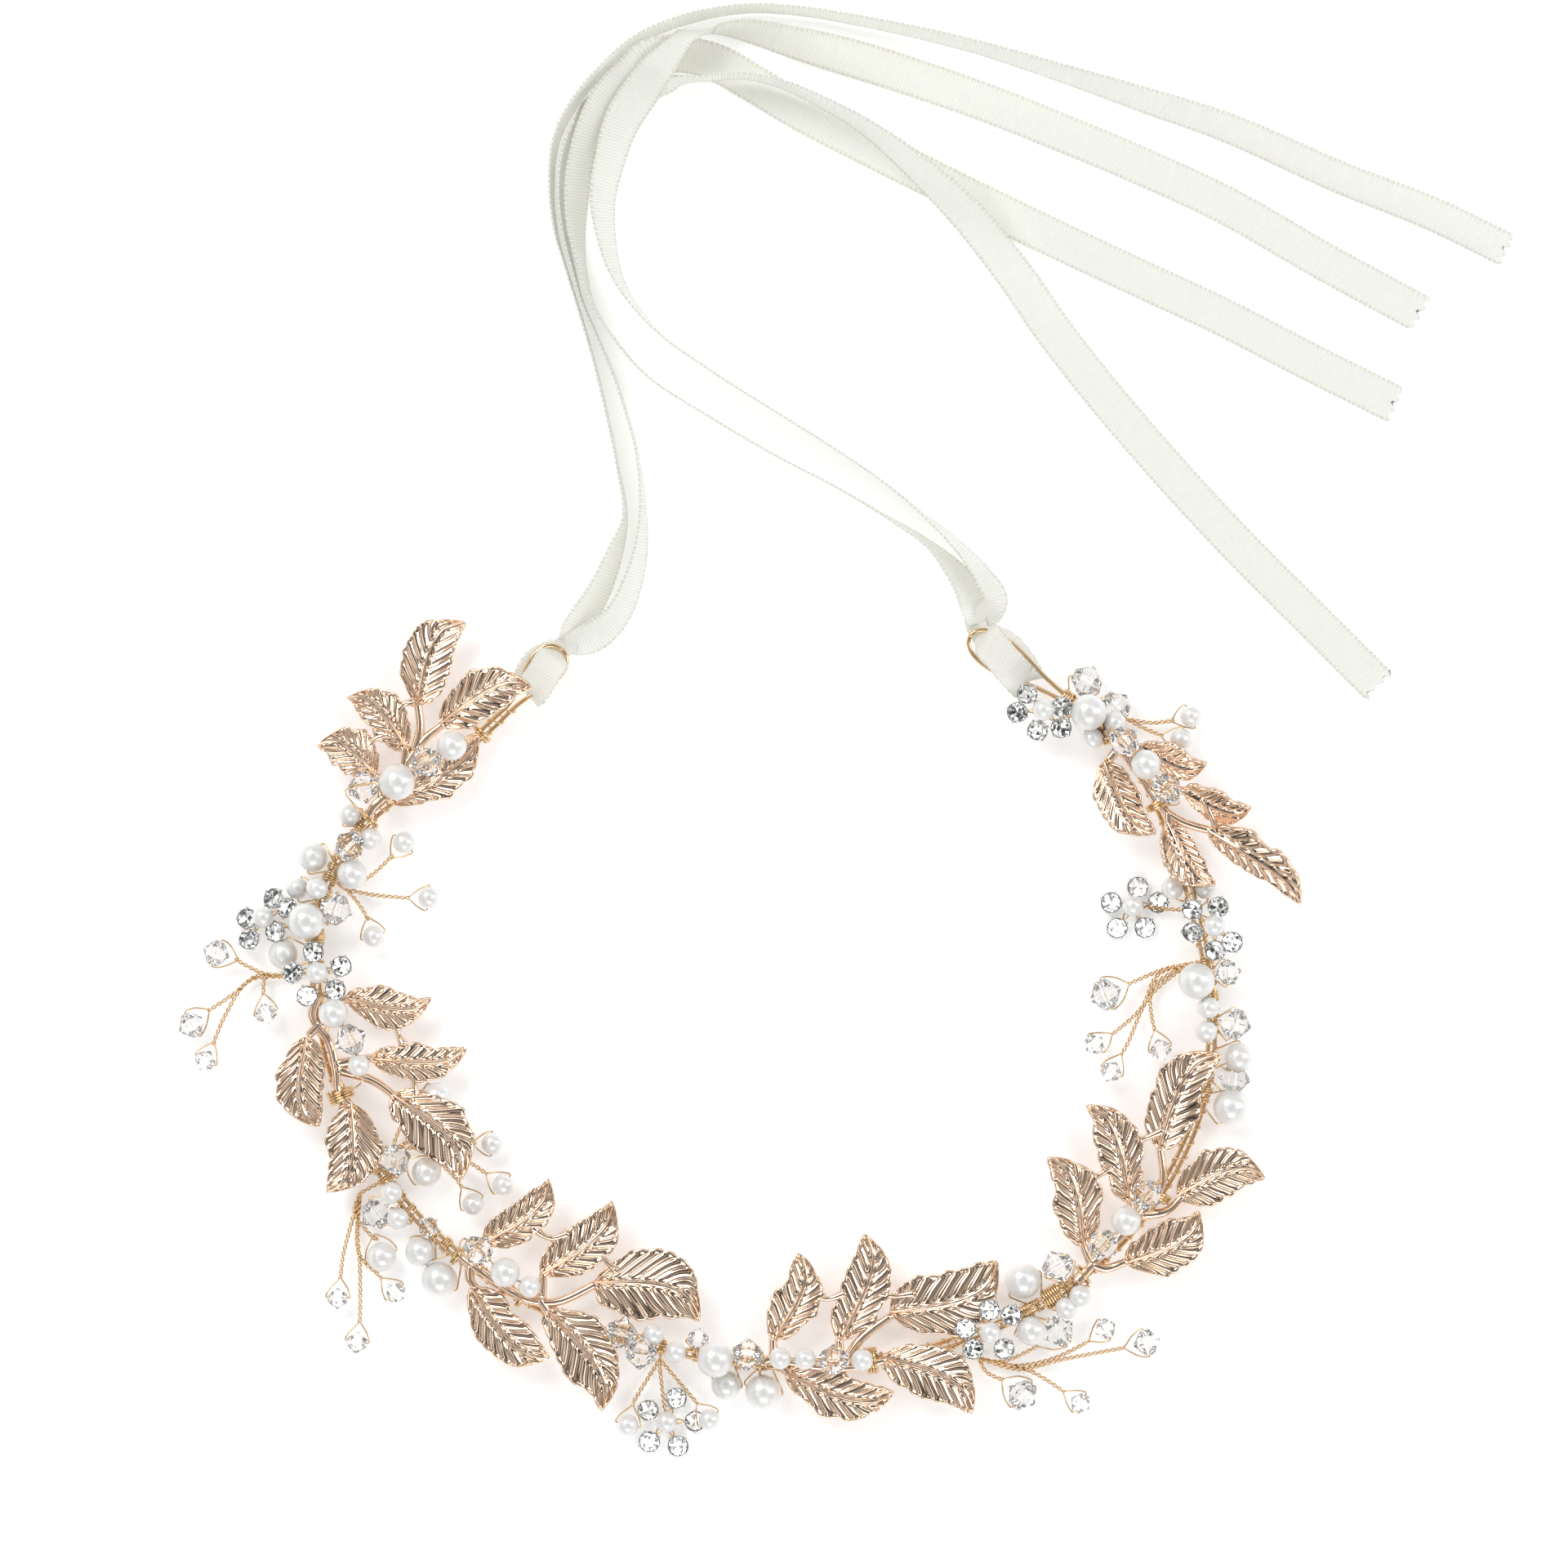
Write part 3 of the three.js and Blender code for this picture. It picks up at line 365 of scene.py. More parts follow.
# rings of corners joined in facets, a shifted ring standing half a facet round; closed
# joins the last ring to the first, and otherwise both ends are filled
def addFacetRings(bm, levels, facets, at, along, spin=0.0, closed=False):
    turn = turnTo(along)
    rings = []
    for size, height, shift in levels:
        angles = [2 * math.pi * (k + shift * 0.5) / facets + spin for k in range(facets)]
        rings.append(([addCorner(bm, turn, at, size, angle, height) for angle in angles], shift))
    followers = rings[1:] + rings[:1] if closed else rings[1:]
    for (high, highShift), (low, lowShift) in zip(rings, followers):
        for k in range(facets):
            n = (k + 1) % facets
            if highShift == lowShift:
                bm.faces.new((high[k], low[k], low[n], high[n]))
            elif lowShift:
                bm.faces.new((high[k], low[k], high[n]))
                bm.faces.new((high[n], low[k], low[n]))
            else:
                bm.faces.new((high[k], low[k], low[n]))
                bm.faces.new((high[k], low[n], high[n]))
    if not closed:
        bm.faces.new(rings[0][0])
        bm.faces.new(rings[-1][0][::-1])


pearlShape = {"segments": 32, "rings": 18, "bore": 0.42, "lip": 0.12}
crystalShape = {"facets": 8, "rim": 0.31, "half": 0.92, "bore": 0.36}
beadRadius = {"pearl": {"small": 2, "medium": 2.7, "large": 3.3},
              "crystal": {"small": 2, "medium": 2.5, "large": 3}}


def addPearl(bm, radius, at, along):
    bore, lip = pearlShape["bore"], pearlShape["lip"]
    start = math.asin((bore + lip) / radius)
    mouth = radius * math.cos(start)
    profile = [(bore, mouth - lip * 1.6), (bore + lip * 0.3, mouth - lip * 0.4)]
    for i in range(pearlShape["rings"] + 1):
        angle = start + (math.pi - 2 * start) * i / pearlShape["rings"]
        profile.append((radius * math.sin(angle), radius * math.cos(angle)))
    profile += [(r, -h) for r, h in profile[1::-1]]
    addLathe(bm, profile, at, along, pearlShape["segments"])


# a bicone crystal cut in staggered facets, drilled from end to end
def addCrystal(bm, radius, at, along):
    half = radius * crystalShape["half"]
    levels = [(crystalShape["bore"], half * 0.99, 0), (radius * crystalShape["rim"] + 0.12, half, 0),
              (radius, half * 0.07, 1)]
    levels += [(r, -h, s) for r, h, s in levels[::-1]]
    addFacetRings(bm, levels, crystalShape["facets"], at, along, closed=True)


# half the length of a bead along its hole
def beadHalf(kind, size):
    radius = beadRadius[kind][size]
    return radius if kind == "pearl" else radius * crystalShape["half"]


# one pearl or crystal; the two kinds go to meshes of their own
def addBead(meshes, kind, size, at, along):
    maker = addPearl if kind == "pearl" else addCrystal
    maker(meshes[kind], beadRadius[kind][size], at, along)
    return beadHalf(kind, size)


def makePiece(name, bm, material, nodes, body="band", smooth=True):
    bmesh.ops.recalc_face_normals(bm, faces=bm.faces)
    mesh = bpy.data.meshes.new(name)
    bm.to_mesh(mesh)
    bm.free()
    mesh.materials.append(material)
    for polygon in mesh.polygons:
        polygon.use_smooth = smooth
    piece = bpy.data.objects.new(name, mesh)
    scene.collection.objects.link(piece)
    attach(piece, body)
    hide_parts(*nodes)
    return piece


def newMeshes(*names):
    return {name: bmesh.new() for name in names}


finishes = {"pearl": pearlLustre, "crystal": clearCrystal, "wire": goldWire, "cup": silverCup,
            "stone": stoneGlass, "foil": foilBack}


def makePieces(name, meshes, nodes):
    for part, bm in meshes.items():
        if bm.verts:
            smooth = part not in ("crystal", "stone", "foil")
            makePiece(f"{name}_{part}", bm, finishes[part], nodes, smooth=smooth)
        else:
            bm.free()


# satin ribbons: each route point is [x, y, roll, lift]; roll stands the ribbon on edge
ribbonSettings = {"width": 7.0, "thickness": 0.24, "cadThickness": 0.5, "step": 0.42, "across": 12,
                  "picot": 0.1, "picotPitch": 0.95, "edgeRoll": 0.12, "rollFrom": 0.82, "clearance": 0.15,
                  "gather": 0.5, "gatherLength": 6.5, "selvedge": 0.1, "perSpan": 16}
ribbonRoutes = {
    "outer": [
        [-31, 71.6, 14, 0.4], [-28.7, 75.4, 45], [-25, 81.5, 55], [-22, 89, 70], [-20.5, 94.5, 85],
        [-22, 104.5, 88],
        [-24, 114, 88], [-26.5, 124, 88], [-29.5, 134, 88], [-31.2, 139.5, 88], [-33, 146, 86],
        [-33.8, 154, 84], [-33, 162.5, 82], [-29.7, 169.2, 80], [-24.5, 175.5, 80], [-18, 181, 80],
        [-8.5, 184.8, 80], [1.5, 186.4, 82, 0.4], [10.5, 186, 82, 0.8], [23, 184, 80, 0.8],
        [41, 180, 76, 0.8], [58.5, 174.8, 68, 0.4], [73.5, 170, 55], [88.5, 165, 46], [109, 156, 40],
        [125.5, 149.5, 36], [139, 143, 34]],
    "crossing": [
        [-31.2, 71.2, 14, 0.9], [-26, 73, 36], [-22, 76.5, 50], [-19, 83, 62], [-17.4, 90.5, 75],
        [-17.4, 98.5, 85],
        [-18.5, 107, 88], [-20, 112.5, 88], [-22.5, 120, 88], [-25.5, 127, 88], [-28.3, 133.5, 88],
        [-29.9, 139.5, 86], [-31.4, 146, 84], [-32.2, 153.5, 84], [-31.3, 160.5, 82],
        [-29.4, 163.8, 66], [-26.3, 166.8, 22], [-23.6, 169.4, 6], [-20, 171.2, 12], [-17, 172.4, 34],
        [-14.9, 173, 52], [-12.6, 173.3, 74, 0.8], [-10.5, 173.5, 84, 1.6], [-6.5, 173.6, 88, 2.4],
        [1.5, 174, 86, 2.4],
        [8.5, 172.4, 82, 2], [14, 170, 78, 1.4], [23, 165, 70, 1], [32, 158, 52, 1],
        [41, 149.5, 32, 0.9], [50, 138.5, 16, 0.5], [57, 128.5, 6], [66, 117, 0], [78, 103, 0],
        [91.5, 88.5, 0], [103, 77, 0], [116, 64, 0]],
    "lower": [
        [43.4, 75, 14, 0.9], [42.3, 80.2, 36], [38.5, 85.5, 62], [34.5, 89.5, 78], [26, 95, 86],
        [17.5, 100, 88],
        [6, 106, 88], [-5, 112.5, 88], [-16.5, 120, 88], [-23, 127.5, 88], [-26.6, 133.5, 86],
        [-28.2, 139.5, 80], [-29.3, 146, 66], [-29.3, 152.5, 54], [-28.4, 159.5, 52, 0.6],
        [-26.2, 165.5, 40, 1.8], [-23.4, 170.4, 26, 2], [-19.6, 174.4, 20, 2.2],
        [-15.5, 177.8, 22, 3.2], [-10, 178.2, 26, 0.6], [-4, 176.8, 16], [3, 173, 5],
        [10.5, 168.5, 0], [23, 162, 0], [44, 151.5, 0], [58.5, 144.5, 0], [73.5, 137.5, 0],
        [88.5, 130.5, 0], [103, 123, 0], [119, 115, 0]],
    "inner": [
        [44, 74.8, 14, 0.4], [46.4, 79.8, 50], [44.5, 83.5, 60], [40.5, 88.5, 72], [34, 94.5, 84],
        [26, 101, 88],
        [17.5, 106.8, 88], [6, 114, 88], [-5, 121, 88], [-14, 127.5, 86], [-20, 134.5, 80],
        [-22.5, 139.5, 72], [-24, 145.5, 62], [-24.5, 152.5, 50], [-23, 160, 38, 0.4],
        [-21, 166, 22, 2], [-17.5, 171.5, -4, 4.2], [-13.5, 176.5, -34, 5.9], [-9.5, 181.1, -62, 4.6],
        [-5.5, 182.6, -90, 0.4], [1, 182.6, -118], [10.5, 180.3, -140], [23, 177, -168],
        [44, 170, -180], [58.5, 164.3, -180], [73.5, 158, -180], [88.5, 151, -180], [106, 141, -180],
        [123.5, 131.5, -180]],
}


# a woven band: rings of corners across its width, each with its own direction across
def addBand(bm, rings, width, thickness, cutEnd=None):
    settings = ribbonSettings
    cloth = bm.loops.layers.uv.new("cloth")
    across = settings["across"]
    grid, along = [], 0.0
    for i, (point, heading, side, size) in enumerate(rings):
        if i:
            along += (point - rings[i - 1][0]).length
        face = heading.cross(side).normalized()
        row = []
        for sheetSide in (1, -1):
            line = []
            for k in range(across + 1):
                part = 2 * k / across - 1
                reach = part * width / 2 * size
                if abs(part) > 0.99:
                    picot = math.copysign(settings["picot"], part)
                    reach += picot * math.sin(2 * math.pi * along / settings["picotPitch"])
                slant = cutEnd[k] if cutEnd and i == len(rings) - 1 else 0.0
                rolled = max(0, abs(part) - settings["rollFrom"]) / (1 - settings["rollFrom"])
                edge = settings["edgeRoll"] * rolled
                lift = sheetSide * (thickness / 2 + edge * 0.5)
                place = point + side * reach + face * lift + heading * slant
                line.append((bm.verts.new(place * mm), (reach, along)))
            row.append(line)
        grid.append(row)

    def addFace(corners):
        made = bm.faces.new([c[0] for c in corners])
        for loop, corner in zip(made.loops, corners):
            loop[cloth].uv = corner[1]

    for low, high in zip(grid, grid[1:]):
        for k in range(across):
            addFace((low[0][k], low[0][k + 1], high[0][k + 1], high[0][k]))
            addFace((low[1][k + 1], low[1][k], high[1][k], high[1][k + 1]))
        addFace((low[1][0], low[0][0], high[0][0], high[1][0]))
        addFace((low[0][-1], low[1][-1], high[1][-1], high[0][-1]))
    for k in range(across):
        addFace((grid[0][1][k], grid[0][1][k + 1], grid[0][0][k + 1], grid[0][0][k]))
        addFace((grid[-1][0][k], grid[-1][0][k + 1], grid[-1][1][k + 1], grid[-1][1][k]))


def ribbonRings(route):
    centre = []
    for x, y, roll, *lift in route:
        angle = math.radians(roll)
        reach = ribbonSettings["width"] / 2 * abs(math.sin(angle))
        flat = ribbonSettings["cadThickness"] / 2 * abs(math.cos(angle))
        centre.append((x, y, ribbonSettings["clearance"] + (lift[0] if lift else 0) + reach + flat))
    fine = smoothPath(centre, ribbonSettings["perSpan"])
    rolls = smoothPath([(row[2], 0, 0) for row in route], ribbonSettings["perSpan"])
    lengths = [0.0]
    for p, q in zip(fine, fine[1:]):
        lengths.append(lengths[-1] + (q - p).length)
    even = evenPath(fine, ribbonSettings["step"])
    rings, k = [], 0
    for i, point in enumerate(even):
        want = lengths[-1] * i / (len(even) - 1)
        while k < len(fine) - 2 and lengths[k + 1] < want:
            k += 1
        share = (want - lengths[k]) / max(lengths[k + 1] - lengths[k], 1e-9)
        roll = math.radians(rolls[k].x + (rolls[k + 1].x - rolls[k].x) * min(max(share, 0), 1))
        heading = (even[min(i + 1, len(even) - 1)] - even[max(i - 1, 0)]).normalized()
        flatSide = Vector((-heading.y, heading.x, 0)).normalized()
        side = flatSide * math.cos(roll) + Vector((0, 0, math.sin(roll)))
        side = (side - heading * side.dot(heading)).normalized()
        spread = min(want / ribbonSettings["gatherLength"], 1)
        gather = ribbonSettings["gather"]
        size = gather + (1 - gather) * math.sin(spread * math.pi / 2)
        rings.append((point, heading, side, size))
    return rings, lengths[-1]


for name, route in ribbonRoutes.items():
    rings, length = ribbonRings(route)
    bm = bmesh.new()
    ragged = random.Random(len(name))
    notch = [0.5 * math.sin(k * 1.9) + ragged.uniform(-0.35, 0.35)
             for k in range(ribbonSettings["across"] + 1)]
    addBand(bm, rings, ribbonSettings["width"] - ribbonSettings["selvedge"],
            ribbonSettings["thickness"], cutEnd=notch)
    tail = makePiece(f"ribbonTail_{name}", bm, ivorySatin, [f"ribbon_tail_{name}"])
    print("ribbon tail", name, round(length), "mm")

# the band's middle line, along which everything is wired
bandSettings = {"start": (-37.5, 64), "heading": -132, "stretch": 31, "begin": 5, "end": 369,
                "turns": [-16, 55, 25, 27, 22, 14, 19, 23, 29, 33, 14, 39],
                "halfGap": 0.6, "radius": 0.42, "height": 3.0, "loopHalfWidth": 3.1,
                "loopTips": ((-32, 70.5), (42, 73)), "loopShape": ((0.25, 0.42), (0.5, 0.8), (0.72, 1),
                                                                   (0.88, 0.84), (0.97, 0.46), (1, 0)),
                "step": 4, "wander": 0.1}
lashSettings = {"pitch": 2.9, "radius": 0.13, "wide": 1.22, "tall": 0.6, "slack": 0.12}
# windings of thin wire round the band: length along it, turns, half width and half height
windings = {
    "underBead": {"span": 1.0, "turns": 2.3, "wide": 1.25, "tall": 0.95, "radius": 0.16, "slack": 0.15},
    "strandEnd": {"span": 1.4, "turns": 3.2, "wide": 1.4, "tall": 1.1, "radius": 0.16, "slack": 0.15},
    "lashing": {"span": 3.5, "turns": 7.2, "wide": 1.75, "tall": 1.5, "radius": 0.24, "slack": 0.03},
    "flower": {"span": 1.2, "turns": 2.6, "wide": 1.4, "tall": 1.2, "radius": 0.17, "slack": 0.12},
    "twig": {"span": 1.4, "turns": 3.2, "wide": 1.4, "tall": 1.2, "radius": 0.17, "slack": 0.12},
    "endTie": {"span": 2.0, "turns": 4.4, "wide": 1.5, "tall": 1.3, "radius": 0.2, "slack": 0.08,
               "height": 3.4},
}


def bandAt(station, side=0.0):
    x, y = bandSettings["start"]
    heading = math.radians(bandSettings["heading"])
    left = station
    turns = bandSettings["turns"]
    for i, turn in enumerate(turns):
        run = left if i == len(turns) - 1 else min(left, bandSettings["stretch"])
        bend = math.radians(turn) / bandSettings["stretch"]
        x += (math.sin(heading + bend * run) - math.sin(heading)) / bend
        y -= (math.cos(heading + bend * run) - math.cos(heading)) / bend
        heading += bend * run
        left -= run
        if left <= 0:
            break
    return x - side * math.sin(heading), y + side * math.cos(heading), heading


def onBand(station, side, height):
    x, y, heading = bandAt(station, side)
    return Vector((x, y, height))


def bandWay(station):
    heading = bandAt(station)[2]
    return Vector((math.cos(heading), math.sin(heading), 0))


def loopSide(station, tip, side):
    x, y, heading = bandAt(station)
    dx, dy = tip[0] - x, tip[1] - y
    length = math.hypot(dx, dy)
    points = []
    for along, across in bandSettings["loopShape"]:
        out = side * across * bandSettings["loopHalfWidth"] / length
        points.append(Vector((x + dx * along - dy * out, y + dy * along + dx * out,
                              bandSettings["height"])))
    return points


# wire laid round the band in a coil, tighter or looser by its pitch
def addCoil(bm, first, last, turns, halfWidth, halfHeight, height, radius, slack=0.0):
    count = max(int(turns * 14), 8)
    path = []
    for i in range(count + 1):
        angle = 2 * math.pi * turns * i / count + first
        station = first + (last - first) * i / count
        wander = 1 + slack * noise.noise(Vector((i * 0.16, first, 0)))
        path.append(onBand(station, halfWidth * math.cos(angle) * wander,
                           height + halfHeight * math.sin(angle) * wander))
    addTube(bm, path, radius, 6)


def addWinding(bm, station, kind):
    winding = windings[kind]
    reach = winding["span"] / 2
    addCoil(bm, station - reach, station + reach, winding["turns"], winding["wide"], winding["tall"],
            winding.get("height", bandSettings["height"]), winding["radius"], winding["slack"])


def makeCore():
    settings = bandSettings
    bm = bmesh.new()
    for side in (1, -1):
        points = loopSide(settings["begin"], settings["loopTips"][0], -side)[::-1]
        station = settings["begin"]
        while station <= settings["end"]:
            wander = settings["wander"] * noise.noise(Vector((station * 0.05, side, 0)))
            points.append(onBand(station, side * settings["halfGap"] + wander, settings["height"]))
            station += settings["step"]
        points += loopSide(settings["end"], settings["loopTips"][1], side)
        addTube(bm, smoothPath(points, 5), settings["radius"], 10)
    makePiece("coreWires", bm, goldWire, ["core_wire"])
    lash = bmesh.new()
    turns = (settings["end"] - settings["begin"]) / lashSettings["pitch"]
    addCoil(lash, settings["begin"], settings["end"], turns, lashSettings["wide"], lashSettings["tall"],
            settings["height"], lashSettings["radius"], lashSettings["slack"])
    makePiece("coreLashing", lash, goldWire, ["core_wire"])


makeCore()
print("band wires made")

# cast leaf sprays
leafSettings = {"along": 132, "across": 20, "height": 4.65, "thickness": 0.5, "veins": 7.6, "slant": 0.27,
                "flute": 0.44, "midrib": 0.5, "midribWidth": 0.34, "rim": 0.24, "rimWidth": 0.34,
                "camber": 0.7, "arch": 0.6, "scallop": 0.08, "lobes": 0.26, "hook": 0.5, "flick": 0.13,
                "fullness": 1.1, "leastReach": 0.22, "groove": 0.16, "grooveAt": 0.75, "grooveWidth": 0.3,
                "uneven": 0.3, "outline": (0.58, 0.66, 0.424)}
sprays = {
    "left_end": {
        "leaves": [[-58, 60.5, -50.5, 76, 9, 1, 0, -1], [-53.9, 57, -37.6, 64.5, 7.8, 5, 0, -1],
                   [-60, 52.5, -70, 62.5, 7, 1, 0, 1], [-65.5, 47.5, -75.5, 54, 7.5, 1, 0, 1],
                   [-63.5, 43, -46.5, 54, 7, 0.3, 0, 1]],
        "stems": [[[-66.5, 41.4], [-63, 45], [-59.5, 50.5], [-56.5, 54.4], [-53.2, 57]],
                  [[-58.5, 52], [-57.5, 56], [-58, 61]], [[-60.5, 49], [-60, 53]], [[-64.5, 43.5],
                  [-65.3, 48]]],
        "webs": [[[-58.5, 61], [-60.5, 60.5], [-62.5, 58]], [[-63, 55], [-66, 54], [-67, 52]]],
        "ties": [38.2, 12.6], "turns": [1.6, 2],
        "beads": [["crystal", "large", -67.5, 45.5], ["pearl", "large", -61.5, 46.5],
                  ["crystal", "large", -56.4, 50.1], ["pearl", "medium", -51.6, 53]]},
    "left": {
        "leaves": [[-78, 0.4, -77, -16, 7.8, 0.6, 0, 1], [-70, -11.5, -73, -28, 9, 0.8, 0, -1],
                   [-71, 7.5, -55.5, 6.5, 6.5, 1, 0, 1], [-66.5, -3.5, -49, -2.5, 6, 1, 0, 1],
                   [-62.5, -10, -49, -24.5, 9.5, 3.4, 0, -1]],
        "stems": [[[-77, 4], [-74, -0.5], [-72.7, -6], [-72.4, -9.4], [-70, -12]], [[-75.5, 3],
                  [-77.8, 0.5]],
                  [[-75.5, 2], [-73, 6], [-70.5, 7.4]], [[-73, -4.6], [-66, -3.4]],
                  [[-72.8, -5.4], [-66, -7.6], [-62, -10.4]]],
        "webs": [[[-62, 4.5], [-61.5, 1], [-60.5, -1]], [[-59, -5], [-58.5, -8.5], [-58.5, -11.5]]],
        "ties": [72.6, 91.2], "turns": [1.6, 4.4],
        "beads": [["pearl", "medium", -73, 4.7], ["crystal", "large", -69.9, 0],
                  ["pearl", "small", -68.4, -4.7]]},
    "front_left": {
        "leaves": [[-46, -37, -33.5, -26, 7, 1, 0, 1], [-35.5, -42.5, -22, -30, 7.5, 1, 0, 1],
                   [-26, -44, -6.5, -49.3, 11.4, 1, 0, -1], [-48.4, -44.9, -34.9, -58.4, 7.8, 1, 0, 1],
                   [-34.5, -49, -23.5, -66.5, 9.5, 1, 0, -1]],
        "stems": [[[-49, -40.5], [-43, -44.6], [-38.6, -47], [-33, -47.6], [-25, -44]],
                  [[-48.5, -41], [-48.5, -43.5], [-47.6, -45]], [[-36, -47.1], [-34.3, -49.5]],
                  [[-47, -41.5], [-45.5, -36.6]], [[-35.6, -47], [-35.2, -42]]],
        "webs": [[[-37.4, -34], [-34, -36], [-30.6, -35.2]], [[-26, -37.5], [-24, -40], [-22, -42]]],
        "ties": [127.5, 141.4], "turns": [1.6, 1.6],
        "beads": [["crystal", "large", -46.8, -38], ["pearl", "medium", -42, -42],
                  ["pearl", "small", -37.6, -44.6]]},
    "front_right": {
        "leaves": [[6.5, -54.5, 12, -39, 7.5, 1, 0, 1], [18.5, -54.5, 24, -35.5, 8, 1, 0, 1],
                   [27.5, -49.4, 47.5, -41.6, 11, 1, 0, 1], [8.5, -60.5, 28, -65, 8, 1, 0, 1],
                   [26, -57.5, 43, -66.5, 9, 1, 0, -1]],
        "stems": [[[5.5, -58], [14, -59.3], [21, -59.5], [27, -58]], [[6.5, -58], [6.3, -54]],
                  [[18.5, -59.3], [18.3, -54]], [[19, -59], [22, -54.5], [28, -49.8]], [[6.5, -58.3],
                  [9.5, -60.7]]],
        "webs": [[[13, -46], [16, -47], [19.5, -46]], [[24, -45.5], [28, -46.5], [32, -46]]],
        "ties": [186.5, 206.6], "turns": [1.6, 4.4],
        "beads": [["pearl", "small", 7.6, -57.5], ["pearl", "small", 12.1, -57.6],
                  ["crystal", "large", 17.2, -57.7], ["pearl", "small", 22.4, -57.8]]},
    "right": {
        "leaves": [[76, -20, 86, -2, 9.2, 2, 0, -1], [71, -29.5, 64, -11.5, 7.5, 1, 0, 1],
                   [62.5, -37.5, 57, -21, 8, 1, 0, 1], [79.3, -28.4, 95, -24, 8.5, 1, 0, -1],
                   [70, -40.5, 84, -32, 8, 1, 0, 1]],
        "stems": [[[61.3, -44], [64.2, -40.6], [70, -34.8], [75.2, -29], [76.8, -25.6], [76.3, -19.5]],
                  [[64, -40.8], [62.3, -37]], [[71.5, -33.1], [70.8, -29]],
                  [[72.6, -32], [77.6, -31.2], [80.6, -28.3]], [[64.2, -40.8], [66.5, -41.6],
                  [70.5, -40.2]]],
        "webs": [[[77, -16.5], [73.5, -18], [70, -19]], [[68, -23], [65.5, -24.5], [62.5, -26]]],
        "ties": [248.5, 268.5], "turns": [1.6, 3.4],
        "beads": [["crystal", "large", 66, -37], ["pearl", "medium", 70, -32.7],
                  ["crystal", "large", 73.8, -28]]},
    "right_end": {
        "leaves": [[66, 50.3, 74.6, 36.6, 7.4, 1.4, -12, 1], [73, 53, 84.5, 49, 6.2, 2, 40, 1],
                   [80.5, 45, 92.5, 41, 6.2, 2, 40, 1], [77.5, 39, 85.5, 27.5, 7, 2.4, -30, 1],
                   [85, 38, 102, 25, 7, 3, 36, -1]],
        "stems": [[[66.5, 56], [69.5, 52.2], [73.2, 47.2], [76.3, 42.2], [80, 39.4], [85.5, 37.6]],
                  [[69, 52.8], [66.8, 50.2]], [[69.5, 52.2], [73.5, 52.8]], [[74.4, 45.4], [81, 44.8]],
                  [[77.8, 41], [77.8, 38.5]]],
        "webs": [[[84, 43.5], [85.5, 40.5], [87, 36.4]]],
        "ties": [357.5, 342.5], "turns": [1.6, 3.4],
        "beads": [["crystal", "large", 69.6, 53.8], ["pearl", "medium", 73.6, 49.6],
                  ["crystal", "large", 77.4, 45.2]]},
}


